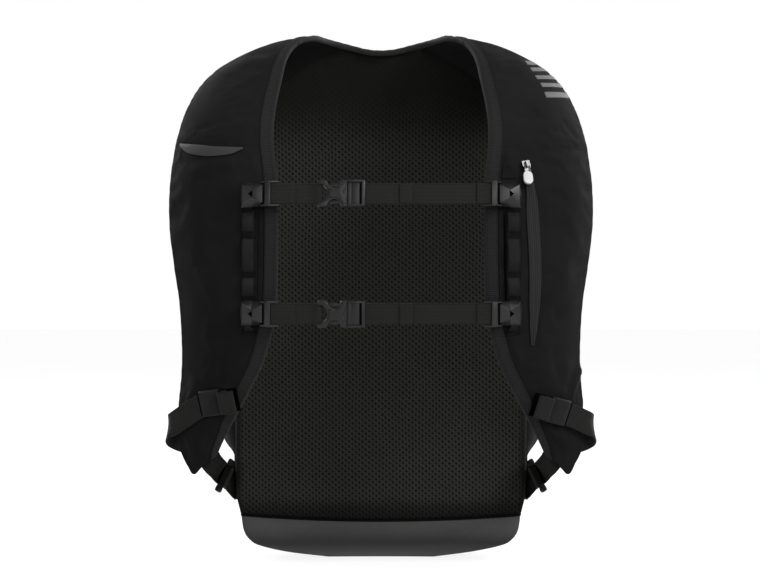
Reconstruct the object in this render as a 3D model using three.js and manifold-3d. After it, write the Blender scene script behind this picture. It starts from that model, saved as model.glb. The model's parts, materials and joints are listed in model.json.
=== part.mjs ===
// A cycling backpack with a vest harness, in the form that it has on the wearer.
// Millimetres. +Z is up, -Y is the way the wearer's chest faces, +Y is the way to the load,
// and +X is to the right for someone who faces the chest.
// The origin is midway between the two places where the harness sits on the shoulders.
import * as THREE from "three";
import { mergeVertices } from "three/addons/utils/BufferGeometryUtils.js";
import Module from "manifold-3d";

const wasm = await Module();
wasm.setup();

// Driving dimensions
const GAP = 0.4; // between pieces that are sewn or threaded together
const CLOTH_WALL = 2.5; // coated fabric with its lining
const STRAP_PAD = 4; // harness panels: fabric, thin foam and lining
const BACK_PAD = 12; // spacer mesh over foam
const TRIM = 1.2; // binding tape, narrow webbing and zip tape
const WEBBING = 1.4; // thickness of the wide webbing
const WEBBING_WIDTH = 20; // chest straps
const LOWER_WIDTH = 22; // lower straps
const BINDING_WIDTH = 13;
const CHAIN_WIDTH = 12;

// Load: the bag, its padded back and its base
const BACK_HALF_WIDTH = 151;
const BACK_DEPTH = 78; // wearer's side of the padded back, at mid height
const BACK_TOP = -4; // middle of the padded back's top edge
const BASE_SEAM = -484; // where the base panel meets the bag at its corners
const BASE_SEAM_DIP = 6.5; // how much lower the seam runs in the middle of the back
const BASE_FOOT = -532; // flat foot of the base panel
const ZIP_PLANE = 160; // the main zip runs over the bag in this plane
const ZIP_SLOT = 6;
const ZIP_TAPE = 16;
const ZIP_LOWEST = -230;

// Half widths of the bag, its depth behind the padded back, and the swell of its sides, from the top down
const BAG_SECTIONS = [
  { z: -18, half: 42, depth: 20, bulge: 0 },
  { z: -25, half: 68, depth: 47, bulge: 0 },
  { z: -36, half: 92, depth: 76, bulge: 0 },
  { z: -55, half: 116, depth: 101, bulge: 4 },
  { z: -80, half: 135, depth: 116, bulge: 10 },
  { z: -115, half: 145, depth: 126, bulge: 20 },
  { z: -200, half: 149, depth: 136, bulge: 36 },
  { z: -330, half: 151, depth: 144, bulge: 46 },
  { z: -396, half: 151, depth: 147, bulge: 46 },
  { z: -411, half: 151, depth: 148, bulge: 36 },
  { z: -423, half: 151, depth: 148, bulge: 12 },
  { z: -432, half: 151, depth: 148, bulge: 4 },
  { z: -466, half: 149.5, depth: 148, bulge: 0 },
  { z: BASE_SEAM, half: 145, depth: 147, bulge: 0 },
];

// Base panel: how far its outline has shrunk at each height below the seam
const BASE_SECTIONS = [
  { z: -499.5, scale: 0.982 },
  { z: -509.5, scale: 0.94 },
  { z: -516, scale: 0.87 },
  { z: -524, scale: 0.68 },
  { z: -530.5, scale: 0.44 },
  { z: BASE_FOOT, scale: 0.36 },
];

// Harness panel, from the yoke seam behind the neck over the shoulder to the lower end.
// A section runs from its inner to its outer edge and bends towards the pull point between them.
const HARNESS_SECTIONS = [
  { inner: [41, 60.8, 0], pull: [95, 59.4, -20], outer: [146, 65.4, -76] },
  { inner: [60, 36, 3], pull: [110, 40, -4], outer: [153, 38, -46] },
  { inner: [72, 2, 3], pull: [116, 2, -1], outer: [161, 2, -31] },
  { inner: [83, -20, -3], pull: [130, -30, -11], outer: [172, -17, -39] },
  { inner: [93, -47, -20], pull: [150, -62, -30], outer: [183, -34, -55] },
  { inner: [98.5, -78, -48], pull: [160, -92, -58], outer: [192, -49, -75] },
  { inner: [103, -103, -77], pull: [166, -113, -84], outer: [198, -60, -96] },
  { inner: [104, -123, -106], pull: [170, -129, -110], outer: [202, -67, -117] },
  { inner: [99.5, -139, -147], pull: [170, -144, -148], outer: [205.5, -74, -150] },
  { inner: [98.5, -145, -190], pull: [168, -150, -190], outer: [205.5, -79, -186] },
  { inner: [99, -147, -235], pull: [166, -152, -232], outer: [200.5, -85, -226] },
  { inner: [101.5, -146, -275], pull: [164, -150, -270], outer: [195, -89, -262] },
  { inner: [112, -139, -316], pull: [164, -145, -308], outer: [192.5, -91, -303] },
  { inner: [126, -130, -345], pull: [168, -137, -338], outer: [193, -91, -332] },
  { inner: [140, -119, -371], pull: [175, -125, -370], outer: [195.5, -90, -362] },
  { inner: [150, -112, -389], pull: [179, -116, -396], outer: [195, -90, -399] },
  { inner: [159, -104, -407], pull: [172, -106, -419], outer: [182, -95, -431] },
];
const RIDGE = 2 / (HARNESS_SECTIONS.length - 1); // the shoulder's crest, along the panel

// Chest straps
const CHAIN_X = 128; // middle of the narrow webbing that the chest straps clip to
const UPPER_STRAP_Z = -161;
const LOWER_STRAP_Z = -271;
const BUCKLE_X = -37.5; // the buckles sit to one side of the middle
const FEMALE_BAR_X = BUCKLE_X - 20.5;
const MALE_BAR_X = BUCKLE_X + 14.5;

// Narrow webbing: a loop stands off the panel between each pair of tacks
const CHAIN_LOOPS = [
  { top: -144, bottom: -172, rise: 7.4 }, // under the upper clip
  { top: -176, bottom: -195, rise: 4.2 },
  { top: -201, bottom: -233, rise: 4.6 },
  { top: -238, bottom: -256, rise: 4.2 },
  { top: -259.5, bottom: -287.5, rise: 7.4 }, // under the lower clip
];
const CHAIN_ENDS = [-139, -292];

// Lower straps
const LOCK_CENTRE = [160.5, 55, -441];
const LOCK_SIZE = { width: 34, length: 20, depth: 4, bar: 3.2 };
const LOCK_ACROSS = [0.41, 0, -0.91];
const TAB_WIDTH = 40; // where the tab is sewn to the side of the bag
const STRAP_SEAT = 0.28; // the strap leaves the panel's end at this share of its width
const STRAP_ACROSS = [0.72, -0.09, -0.68]; // across the strap, between the panel and the lock

const COLOURS = {
  shell: 0x1b1b1b,
  mesh: 0x202020,
  binding: 0x262626,
  webbing: 0x2a2a28,
  plastic: 0x474747,
  reflective: 0x3d3f3e,
  zip: 0x303030,
  metal: 0x8c8c8c,
  pull: 0xe6e6e2,
};

const v3 = (x, y, z) => new THREE.Vector3(x, y, z);
const mirrored = (p, side) => v3(side * p.x, p.y, p.z);
const lerp = THREE.MathUtils.lerp;

// Geometry from points and triangles, with its faces turned out.
function geometryOf(points, faces) {
  let volume = 0;
  for (let i = 0; i < faces.length; i += 3) {
    const [a, b, c] = [points[faces[i]], points[faces[i + 1]], points[faces[i + 2]]];
    volume += a.dot(b.clone().cross(c));
  }
  if (volume < 0) faces.reverse();
  return new THREE.BufferGeometry().setFromPoints(points).setIndex(faces);
}

// A closed slab between two surfaces that are drawn over the same unit square.
function slab(columns, rows, front, back) {
  const points = [];
  const faces = [];
  const layer = (columns + 1) * (rows + 1);
  const at = (side, i, j) => side * layer + j * (columns + 1) + i;
  const quad = (a, b, c, d) => faces.push(a, b, c, a, c, d);
  for (const surface of [front, back])
    for (let j = 0; j <= rows; j++)
      for (let i = 0; i <= columns; i++) points.push(surface(i / columns, j / rows));
  for (let j = 0; j < rows; j++) {
    for (let i = 0; i < columns; i++) {
      quad(at(0, i, j), at(0, i + 1, j), at(0, i + 1, j + 1), at(0, i, j + 1));
      quad(at(1, i, j), at(1, i, j + 1), at(1, i + 1, j + 1), at(1, i + 1, j));
    }
    quad(at(0, 0, j), at(0, 0, j + 1), at(1, 0, j + 1), at(1, 0, j));
    quad(at(0, columns, j + 1), at(0, columns, j), at(1, columns, j), at(1, columns, j + 1));
  }
  for (let i = 0; i < columns; i++) {
    quad(at(0, i, 0), at(1, i, 0), at(1, i + 1, 0), at(0, i + 1, 0));
    quad(at(0, i, rows), at(0, i + 1, rows), at(1, i + 1, rows), at(1, i, rows));
  }
  return geometryOf(points, faces);
}

// A closed solid through rings of equally many points, with a fan over each end.
function loft(rings) {
  const count = rings[0].length;
  const points = rings.flat();
  const faces = [];
  for (let r = 0; r + 1 < rings.length; r++)
    for (let k = 0; k < count; k++) {
      const [a, b] = [r * count + k, r * count + ((k + 1) % count)];
      faces.push(a, b, b + count, a, b + count, a + count);
    }
  for (const [ring, start] of [[rings[0], 0], [rings.at(-1), (rings.length - 1) * count]]) {
    const middle = ring.reduce((sum, p) => sum.add(p), v3(0, 0, 0)).divideScalar(count);
    points.push(middle);
    for (let k = 0; k < count; k++) {
      const edge = [start + k, start + ((k + 1) % count)];
      faces.push(points.length - 1, ...(start ? edge : edge.reverse()));
    }
  }
  return geometryOf(points, faces);
}

// A flat band of webbing along a path, with its face turned to the given normals.
// Its width is one number, or a list that its last entry carries on.
function ribbon(path, normals, width, thickness) {
  const last = path.length - 1;
  const widthAt = (i) => (Array.isArray(width) ? width[Math.min(i, width.length - 1)] : width);
  const frame = path.map((p, i) => {
    const along = path[Math.min(last, i + 1)].clone().sub(path[Math.max(0, i - 1)]);
    const across = normals[i].clone().cross(along).normalize();
    return { p, across, up: along.clone().cross(across).normalize(), wide: widthAt(i) };
  });
  const face = (height) => (u, v) => {
    const { p, across, up, wide } = frame[Math.round(v * last)];
    return p.clone().addScaledVector(across, (u - 0.5) * wide).addScaledVector(up, height);
  };
  return slab(1, last, face(thickness / 2), face(-thickness / 2));
}

// Joining and cutting
function toSolid(geometry) {
  const bare = new THREE.BufferGeometry().setAttribute("position", geometry.getAttribute("position"));
  if (geometry.index) bare.setIndex(geometry.index);
  const merged = mergeVertices(bare, 1e-4);
  const vertProperties = merged.getAttribute("position").array;
  const triVerts = new Uint32Array(merged.index.array);
  return new wasm.Manifold(new wasm.Mesh({ numProp: 3, vertProperties, triVerts }));
}

function fromSolid(solid) {
  const { vertProperties, triVerts } = solid.getMesh();
  const position = new THREE.BufferAttribute(new Float32Array(vertProperties), 3);
  return new THREE.BufferGeometry().setAttribute("position", position).setIndex([...triVerts]);
}

// A box between two corners.
function block(low, high) {
  const size = high.map((h, i) => h - low[i]);
  const middle = high.map((h, i) => (h + low[i]) / 2);
  return toSolid(new THREE.BoxGeometry(...size).translate(...middle));
}

// An outline drawn in X and Z, thickened along Y.
function plate(shape, low, high) {
  const options = { depth: high - low, bevelEnabled: false, curveSegments: 4 };
  return toSolid(new THREE.ExtrudeGeometry(shape, options).rotateX(Math.PI / 2).translate(0, high, 0));
}

const pack = new THREE.Group();

function add(parent, name, geometry, colour, roughness = 0.85, metalness = 0) {
  const material = new THREE.MeshStandardMaterial({ color: colour, roughness, metalness });
  const mesh = new THREE.Mesh(geometry, material);
  mesh.name = name;
  parent.add(mesh);
  return mesh;
}

const SIDES = [
  { name: "left", sign: -1 },
  { name: "right", sign: 1 },
];

// Harness surface: s runs across from the inner edge, v along from the yoke seam
const railOf = (key) =>
  new THREE.CatmullRomCurve3(HARNESS_SECTIONS.map((row) => v3(...row[key])), false, "catmullrom", 0.5);
const rails = { inner: railOf("inner"), pull: railOf("pull"), outer: railOf("outer") };

function harnessPoint(sign, s, v) {
  const p = rails.inner.getPoint(v).multiplyScalar((1 - s) ** 2);
  p.addScaledVector(rails.pull.getPoint(v), 2 * s * (1 - s));
  p.addScaledVector(rails.outer.getPoint(v), s * s);
  return mirrored(p, sign);
}

// The unit normal that points away from the wearer.
function harnessNormal(sign, s, v) {
  const step = 1e-3;
  const [s0, s1] = [Math.max(0, s - step), Math.min(1, s + step)];
  const [v0, v1] = [Math.max(0, v - step), Math.min(1, v + step)];
  const across = harnessPoint(sign, s1, v).sub(harnessPoint(sign, s0, v));
  const along = harnessPoint(sign, s, v1).sub(harnessPoint(sign, s, v0));
  return along.cross(across).multiplyScalar(sign).normalize();
}

function harnessOffset(sign, s, v, height) {
  return harnessPoint(sign, s, v).addScaledVector(harnessNormal(sign, s, v), height);
}

// The place on the front of a harness panel that is seen at x and z, as s and v.
function seenAt(x, z) {
  let best = { s: 0, v: 0, miss: Infinity };
  for (let i = 0; i <= 20; i++)
    for (let j = 8; j <= 60; j++) {
      const p = harnessPoint(1, i / 20, j / 60);
      const miss = Math.hypot(p.x - x, p.z - z);
      if (miss < best.miss) best = { s: i / 20, v: j / 60, miss };
    }
  let { s, v } = best;
  for (let turn = 0; turn < 12; turn++) {
    const step = 1e-4;
    const p = harnessPoint(1, s, v);
    const across = harnessPoint(1, s + step, v).sub(p).divideScalar(step);
    const along = harnessPoint(1, s, Math.min(1, v + step)).sub(p).divideScalar(step);
    const det = across.x * along.z - along.x * across.z;
    s += ((x - p.x) * along.z - along.x * (z - p.z)) / det;
    v += (across.x * (z - p.z) - (x - p.x) * across.z) / det;
  }
  return { s, v };
}

function onHarness(sign, x, z, height) {
  const { s, v } = seenAt(Math.abs(x), z);
  return harnessOffset(sign, s, v, height);
}

function onHarnessNormal(sign, x, z) {
  const { s, v } = seenAt(Math.abs(x), z);
  return harnessNormal(sign, s, v);
}

// Padded back
function backFace(x, z) {
  const lean = 15 * Math.exp(-(((z - 5) / 75) ** 2)); // the top comes forward to the yoke
  const wrap = 6 * (x / BACK_HALF_WIDTH) ** 2; // the sides come forward round the wearer
  return BACK_DEPTH - lean - wrap;
}

function bagSize(z) {
  const rows = BAG_SECTIONS;
  const next = rows.findIndex((row) => row.z <= z);
  if (next <= 0) return next ? rows.at(-1) : rows[0];
  const [a, b] = [rows[next - 1], rows[next]];
  const t = (z - a.z) / (b.z - a.z);
  const at = (key) => lerp(a[key], b[key], t);
  return { half: at("half"), depth: at("depth"), bulge: at("bulge") };
}

const seamDip = (x) => BASE_SEAM - BASE_SEAM_DIP * (1 - (x / bagSize(BASE_SEAM).half) ** 2);

// The padded back's top edge: a dip behind the neck, then down along the yoke seam.
function backTop(share) {
  const seamStart = v3(...HARNESS_SECTIONS[0].inner);
  const width = Math.abs(share) * HARNESS_SECTIONS[0].outer[0];
  const below = seamStart.z - 1.2;
  if (width < seamStart.x) return lerp(BACK_TOP, below, (width / seamStart.x) ** 2);
  let [low, high] = [0, 1];
  for (let turn = 0; turn < 30; turn++) {
    const s = (low + high) / 2;
    if (harnessPoint(1, s, 0).x < width) low = s;
    else high = s;
  }
  const rise = Math.min(1, (width - seamStart.x) / 20);
  return harnessPoint(1, low, 0).z + lerp(below, 2, rise);
}

function backPoint(u, v, depth) {
  const share = 2 * u - 1;
  const top = backTop(share);
  const z = lerp(top, seamDip(share * bagSize(BASE_SEAM).half) + 2 * GAP, v);
  const half = lerp(HARNESS_SECTIONS[0].outer[0], bagSize(Math.min(z, -115)).half, Math.min(1, 4 * v));
  const x = share * half;
  return v3(x, backFace(x, z) + depth, z);
}

add(
  pack,
  "back_panel",
  slab(12, 18, (u, v) => backPoint(u, v, 0), (u, v) => backPoint(u, v, BACK_PAD)),
  COLOURS.mesh,
);

// Bag: a hollow shell, open below to the base panel, with a slot under its zip
const FRONT_STEPS = 10;
const ROUND_STEPS = 16;
const FRONT_GAP = 0.7; // behind the padded back
const ROUNDNESS = 2 / 3.2; // power of the rounded sides

function bagRing(z, grow) {
  const { half, depth, bulge } = bagSize(z);
  const width = half + grow;
  const ring = [];
  for (let i = 0; i < FRONT_STEPS; i++) {
    const x = lerp(-width, width, i / FRONT_STEPS);
    ring.push(v3(x, backFace(x, z) + BACK_PAD + FRONT_GAP - grow, z));
  }
  const front = backFace(half, z) + BACK_PAD + FRONT_GAP - grow;
  for (let i = 0; i < ROUND_STEPS; i++) {
    const turn = (Math.PI * i) / ROUND_STEPS;
    const facing = Math.sign(Math.cos(turn));
    const side = width * Math.abs(Math.cos(turn)) ** ROUNDNESS;
    const swell = bulge * Math.sqrt(Math.sin(turn)) * Math.abs(Math.cos(turn)) ** 0.4;
    ring.push(v3(facing * (side + swell), front + (depth + 2 * grow) * Math.sin(turn) ** ROUNDNESS, z));
  }
  return ring;
}

// Half the width of the bag's outer wall at a height and a depth.
function wallAt(z, y, grow) {
  const ring = bagRing(z, grow).slice(FRONT_STEPS);
  const next = ring.findIndex((p) => p.y > y);
  const [a, b] = [ring[next - 1], ring[next]];
  return lerp(a.x, b.x, (y - a.y) / (b.y - a.y));
}

// Heights of the bag's rings: the sections, with others between those that lie far apart.
const RING_STEP = 45;
const ringHeights = BAG_SECTIONS.slice(1).reduce(
  (heights, { z }) => {
    const last = heights.at(-1);
    const parts = Math.ceil((last - z) / RING_STEP);
    for (let i = 1; i <= parts; i++) heights.push(lerp(last, z, i / parts));
    return heights;
  },
  [BAG_SECTIONS[0].z],
);

function bagBody(grow, foot) {
  const rings = ringHeights.map((z) => bagRing(z, grow));
  const lift = (ring, z) => ring.map((p) => v3(p.x, p.y, z));
  rings[0] = lift(rings[0], BAG_SECTIONS[0].z + grow);
  return loft([...rings.slice(0, -1), lift(rings.at(-1), foot)]);
}

const bagOuter = toSolid(bagBody(0, BASE_SEAM + GAP));
const bagInner = toSolid(bagBody(-CLOTH_WALL, BASE_SEAM - 5));
const zipSlot = block(
  [-200, ZIP_PLANE - ZIP_SLOT / 2, ZIP_LOWEST + 6],
  [200, ZIP_PLANE + ZIP_SLOT / 2, 50],
);
add(pack, "bag_shell", fromSolid(bagOuter.subtract(bagInner).subtract(zipSlot)), COLOURS.shell);

// Main zip: its tape follows the bag over the slot
const tapeOuter = toSolid(bagBody(GAP + TRIM, BASE_SEAM));
const tapeInner = toSolid(bagBody(GAP, BASE_SEAM - 5));
const tapeBand = block([-200, ZIP_PLANE - ZIP_TAPE / 2, ZIP_LOWEST], [200, ZIP_PLANE + ZIP_TAPE / 2, 50]);
add(pack, "main_zip", fromSolid(tapeOuter.subtract(tapeInner).intersect(tapeBand)), COLOURS.zip, 0.6);

// The main zip's slider, one plain piece at the right end of the zip
const SLIDER_Z = ZIP_LOWEST + 16;
const sliderWall = wallAt(SLIDER_Z - 20, ZIP_PLANE - 5, GAP + TRIM);
const mainSlider = new THREE.Shape()
  .moveTo(-3.5, 6)
  .lineTo(3.5, 6)
  .lineTo(4.5, 1)
  .lineTo(3, -6)
  .lineTo(3, -24)
  .lineTo(-3, -24)
  .lineTo(-3, -6)
  .lineTo(-4.5, 1);
add(
  pack,
  "main_zip_slider",
  fromSolid(plate(mainSlider, -1.5, 1.5))
    .rotateZ(Math.PI / 2)
    .translate(sliderWall + 1.5 + GAP, ZIP_PLANE, SLIDER_Z),
  COLOURS.metal,
  0.4,
  0.8,
);

// Base panel: a tub under the bag and the padded back
function baseOutline(grow) {
  const { half, depth } = bagSize(BASE_SEAM);
  const width = half + grow;
  const ring = [];
  for (let i = 0; i < FRONT_STEPS; i++) {
    const x = lerp(-width, width, i / FRONT_STEPS);
    ring.push(v3(x, backFace(x, BASE_SEAM) - grow, seamDip(Math.min(half, Math.abs(x)))));
  }
  const front = backFace(half, BASE_SEAM) - grow;
  for (let i = 0; i < ROUND_STEPS; i++) {
    const turn = (Math.PI * i) / ROUND_STEPS;
    const side = Math.sign(Math.cos(turn)) * Math.abs(Math.cos(turn)) ** ROUNDNESS;
    const depthHere = (depth + BACK_PAD + 2 * grow) * Math.sin(turn) ** ROUNDNESS;
    ring.push(v3(width * side, front + depthHere, BASE_SEAM));
  }
  return ring;
}

function baseBody(grow, raise) {
  const rim = baseOutline(grow);
  const middle = v3(0, BACK_DEPTH + (BACK_PAD + bagSize(BASE_SEAM).depth) / 2, 0);
  const lower = BASE_SECTIONS.map(({ z, scale }) =>
    rim.map((p) => v3(lerp(middle.x, p.x, scale), lerp(middle.y, p.y, scale), z - grow)),
  );
  return loft([rim.map((p) => v3(p.x, p.y, p.z + raise)), ...lower]);
}

const baseTub = toSolid(baseBody(0, 0)).subtract(toSolid(baseBody(-CLOTH_WALL, 1)));
add(pack, "base_panel", fromSolid(baseTub), COLOURS.reflective, 0.55);

// Neck piping: a rolled edge from one shoulder behind the neck to the other
const PIPING = { radius: 2.8, sides: 4, clear: 4.2 };
const PIPING_ENDS = [1.1 * RIDGE, 0.8 * RIDGE, 0.55 * RIDGE, 0.3 * RIDGE];

function pipingPoint(sign, v) {
  const edge = harnessPoint(sign, 0, v);
  const inward = edge.clone().sub(harnessPoint(sign, 0.02, v)).normalize();
  return edge.addScaledVector(inward, PIPING.clear).setZ(edge.z + 0.8);
}

// Behind the neck the piping lies against the padded back, just under its top edge.
function pipingBehind(x) {
  const z = BACK_TOP + 0.5 + 2.5 * (x / 30) ** 2;
  return v3(x, backFace(x, z) - PIPING.radius - 1, z);
}

const pipingPath = new THREE.CatmullRomCurve3([
  ...PIPING_ENDS.map((v) => pipingPoint(-1, v)),
  ...[-30, -15, 0, 15, 30].map(pipingBehind),
  ...PIPING_ENDS.toReversed().map((v) => pipingPoint(1, v)),
]);
const pipingRing = new THREE.Shape().absarc(0, 0, PIPING.radius, 0, 2 * Math.PI);
const pipingOptions = { steps: 24, curveSegments: PIPING.sides, extrudePath: pipingPath };
add(pack, "neck_piping", new THREE.ExtrudeGeometry(pipingRing, pipingOptions), COLOURS.binding);

// Harness panels with the binding tape along their inner edges
const HALF_PAD = STRAP_PAD / 2;
const bindingShare = (sign, v) =>
  BINDING_WIDTH / harnessPoint(sign, 0, v).distanceTo(harnessPoint(sign, 0.2, v)) / 5;

for (const { name, sign } of SIDES) {
  const panelFace = (height) => (u, v) => harnessOffset(sign, u, v, height);
  add(pack, `harness_panel_${name}`, slab(7, 32, panelFace(HALF_PAD), panelFace(-HALF_PAD)), COLOURS.shell);
  const bindingFace = (height) => (u, v) => {
    const along = lerp(1.15 * RIDGE, 1, v);
    return harnessOffset(sign, u * bindingShare(sign, along), along, height);
  };
  const onTop = HALF_PAD + 1.6 * GAP;
  add(
    pack,
    `harness_binding_${name}`,
    slab(1, 32, bindingFace(onTop + TRIM), bindingFace(onTop)),
    COLOURS.binding,
  );
}

// Narrow webbing for the chest straps, tacked down between loops
const CHAIN_SEAT = HALF_PAD + GAP;
const CHAIN_STEPS = 52;

function chainRise(z) {
  const loop = CHAIN_LOOPS.find(({ top, bottom }) => z < top && z > bottom);
  if (!loop) return 0;
  const ramp = 5;
  const inside = Math.min(loop.top - z, z - loop.bottom);
  return (loop.rise - CHAIN_SEAT) * Math.sin((Math.PI / 2) * Math.min(1, inside / ramp));
}

for (const { name, sign } of SIDES) {
  const face = (height) => (u, v) => {
    const z = lerp(...CHAIN_ENDS, v);
    return onHarness(sign, CHAIN_X + (u - 0.5) * CHAIN_WIDTH, z, CHAIN_SEAT + chainRise(z) + height);
  };
  add(pack, `clip_webbing_${name}`, slab(1, CHAIN_STEPS, face(TRIM), face(0)), COLOURS.webbing);
}

// Chest straps. Each lies in a level group that leans with the chest.
const CLIP_BAR = { w: 21.3, n: 12.4, half: 1.7 }; // the bar that the strap is sewn round
const LOOP = { hole: 2.75, outer: 2.75 + WEBBING, neck: 6, spread: 0.87 };

// A strap sewn round a bar at each end, seen along its width.
function loopedStrap(x0, x1) {
  const half = WEBBING + 0.05;
  const shape = new THREE.Shape();
  shape.absarc(x0, 0, LOOP.outer, LOOP.spread, 2 * Math.PI - LOOP.spread);
  shape.lineTo(x0 + LOOP.neck, -half);
  shape.lineTo(x1 - LOOP.neck, -half);
  shape.absarc(x1, 0, LOOP.outer, Math.PI + LOOP.spread, 3 * Math.PI - LOOP.spread);
  shape.lineTo(x1 - LOOP.neck, half);
  shape.lineTo(x0 + LOOP.neck, half);
  for (const x of [x0, x1]) shape.holes.push(new THREE.Path().absarc(x, 0, LOOP.hole, 0, 2 * Math.PI));
  const options = { depth: WEBBING_WIDTH, bevelEnabled: false, curveSegments: 5 };
  return new THREE.ExtrudeGeometry(shape, options).translate(0, 0, -WEBBING_WIDTH / 2);
}

// A moulded clip: its hook goes behind the narrow webbing, and its bar carries the strap.
function clip(inward) {
  const { w, n, half } = CLIP_BAR;
  const tall = WEBBING_WIDTH / 2 + 2.3;
  const lip = tall - 2;
  const box = (w0, w1, n0, n1, t) =>
    block([Math.min(inward * w0, inward * w1), -n1, -t], [Math.max(inward * w0, inward * w1), -n0, t]);
  const flange = (side) =>
    block(
      [Math.min(inward * 14.6, inward * 32.4), -n - 1.8, side < 0 ? -tall : lip],
      [Math.max(inward * 14.6, inward * 32.4), -n + 1.8, side < 0 ? -lip : tall],
    );
  const dimple = new THREE.CylinderGeometry(2, 3.6, 3, 8).translate(inward * 4.5, -15.2, 0);
  return fromSolid(
    box(-4.8, 15.6, 9.3, 15.2, tall)
      .subtract(toSolid(dimple))
      .add(box(-8.6, -4, 9.3, 11.3, 7))
      .add(box(-8.6, -6.8, 4, 10, 7))
      .add(box(-8.6, 6.4, 4, 6.2, 7))
      .add(flange(-1))
      .add(flange(1))
      .add(box(w - half, w + half, n - half, n + half, tall)),
  );
}

// The socket half of a side-release buckle, with windows where the prongs are pressed.
function buckleSocket() {
  const [x0, x1] = [BUCKLE_X - 22.5, BUCKLE_X + 5.3];
  const shape = new THREE.Shape()
    .moveTo(x0, -13)
    .lineTo(x0 + 8, -13)
    .quadraticCurveTo(x0 + 15, -5.5, x0 + 22, -12.5)
    .lineTo(x1, -12.5)
    .lineTo(x1, 12.5)
    .lineTo(x0 + 22, 12.5)
    .quadraticCurveTo(x0 + 15, 5.5, x0 + 8, 13)
    .lineTo(x0, 13);
  const slot = [FEMALE_BAR_X + 1.7, FEMALE_BAR_X + 4.6];
  return fromSolid(
    plate(shape, -4.6, 4.6)
      .subtract(block([slot[0], -6, -10.5], [slot[1], 6, 10.5]))
      .subtract(block([x0 - 2, -6, -10.5], [FEMALE_BAR_X - 1.7, 6, 10.5]))
      .subtract(block([FEMALE_BAR_X - 2, -6, -10.5], [slot[1], -1.7, 10.5]))
      .subtract(block([FEMALE_BAR_X - 2, 1.7, -10.5], [slot[1], 6, 10.5]))
      .subtract(block([x0 + 8.4, -2.9, -11], [x1 + 2, 2.9, 11])),
  );
}

// The prong half, with a ladder of bars for the adjustable strap.
function bucklePlug() {
  const [x0, x1] = [BUCKLE_X + 5.7, BUCKLE_X + 22.5];
  const frame = block([x0, -4.2, -12.5], [x1, 4.2, 12.5])
    .subtract(block([x0 + 3, -6, -10.5], [x1 - 2.2, 6, 10.5]))
    .subtract(block([x1 - 3, -1.9, -10.5], [x1 + 2, 6, 10.5]))
    .add(block([MALE_BAR_X - 1.7, -1.7, -12], [MALE_BAR_X + 1.7, 1.7, 12]));
  const arm = (side, from, to, width) =>
    block(
      [x0 + from, -2.4, Math.min(side * 6.2, side * width)],
      [x0 + to, 2.4, Math.max(side * 6.2, side * width)],
    );
  const prong = (side) => arm(side, -17, -4.5, 10.4).add(arm(side, -6, 1, 8.6));
  const tongue = block([x0 - 14, -2.4, -1.6], [x0 + 1, 2.4, 1.6]);
  return fromSolid(frame.add(prong(-1)).add(prong(1)).add(tongue));
}

for (const [level, z] of [["upper", UPPER_STRAP_Z], ["lower", LOWER_STRAP_Z]]) {
  const seat = onHarness(1, CHAIN_X, z, 0);
  const normal = onHarnessNormal(1, CHAIN_X, z);
  const turn = Math.asin(normal.x);
  const group = new THREE.Group();
  group.position.set(0, seat.y, seat.z);
  group.rotation.x = -Math.asin(normal.z / Math.cos(turn));
  pack.add(group);
  const barX = CHAIN_X - CLIP_BAR.w * Math.cos(turn) + CLIP_BAR.n * Math.sin(turn);
  const barY = -CLIP_BAR.n * Math.cos(turn) - CLIP_BAR.w * Math.sin(turn);
  for (const { name, sign } of SIDES) {
    const mesh = add(group, `clip_${level}_${name}`, clip(-sign), COLOURS.plastic, 0.5);
    mesh.position.x = sign * CHAIN_X;
    mesh.rotation.z = sign * turn;
  }
  const straps = { left: [-barX, FEMALE_BAR_X], right: [MALE_BAR_X, barX] };
  for (const { name } of SIDES) {
    const strap = add(group, `chest_strap_${level}_${name}`, loopedStrap(...straps[name]), COLOURS.webbing);
    strap.position.y = barY;
  }
  add(group, `buckle_socket_${level}`, buckleSocket(), COLOURS.plastic, 0.5).position.y = barY;
  add(group, `buckle_plug_${level}`, bucklePlug(), COLOURS.plastic, 0.5).position.y = barY;
}

// Lower straps: webbing from the panel's end through a ladder lock to a tab on the bag
const LOCK_BAR = LOCK_SIZE.length / 2 - LOCK_SIZE.bar / 2; // end bars, from the lock's middle
const WRAP = 3.6; // radius of the webbing's middle round a bar
const WRAP_TURNS = 8;

function lockFrame() {
  const forward = v3(7, -115, 19).normalize();
  const across = v3(...LOCK_ACROSS);
  across.addScaledVector(forward, -across.dot(forward)).normalize();
  const up = forward.clone().cross(across).normalize();
  return { centre: v3(...LOCK_CENTRE), forward, across, up };
}

// Webbing that comes down to a bar on the lock's outer face, goes round it and lies back along itself.
function roundBar(start, startNormals, ahead) {
  const { centre, forward, up } = lockFrame();
  const way = forward.clone().multiplyScalar(ahead);
  const bar = centre.clone().addScaledVector(way, LOCK_BAR);
  const at = (x, n) => bar.clone().addScaledVector(way, x).addScaledVector(up, n);
  const path = [...start, at(13, 2.6), at(6, 3.4)];
  const normals = [...startNormals, up, up];
  for (let i = 0; i <= WRAP_TURNS; i++) {
    const turn = (Math.PI * i) / WRAP_TURNS;
    path.push(at(-WRAP * Math.sin(turn), WRAP * Math.cos(turn)));
    normals.push(way.clone().multiplyScalar(-Math.sin(turn)).addScaledVector(up, Math.cos(turn)));
  }
  path.push(at(6, -3.2), at(14, -0.4));
  normals.push(up.clone().negate(), up.clone().negate());
  return { path, normals };
}

function ladderLock() {
  const { width, length, depth, bar } = LOCK_SIZE;
  const slot = LOWER_WIDTH / 2 + 0.8;
  const half = (LOCK_BAR - bar) / 2;
  const hole = (x) => block([x - half, -depth, -slot], [x + half, depth, slot]);
  return fromSolid(
    block([-length / 2, -depth / 2, -width / 2], [length / 2, depth / 2, width / 2])
      .subtract(hole(LOCK_BAR / 2))
      .subtract(hole(-LOCK_BAR / 2)),
  );
}

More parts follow.
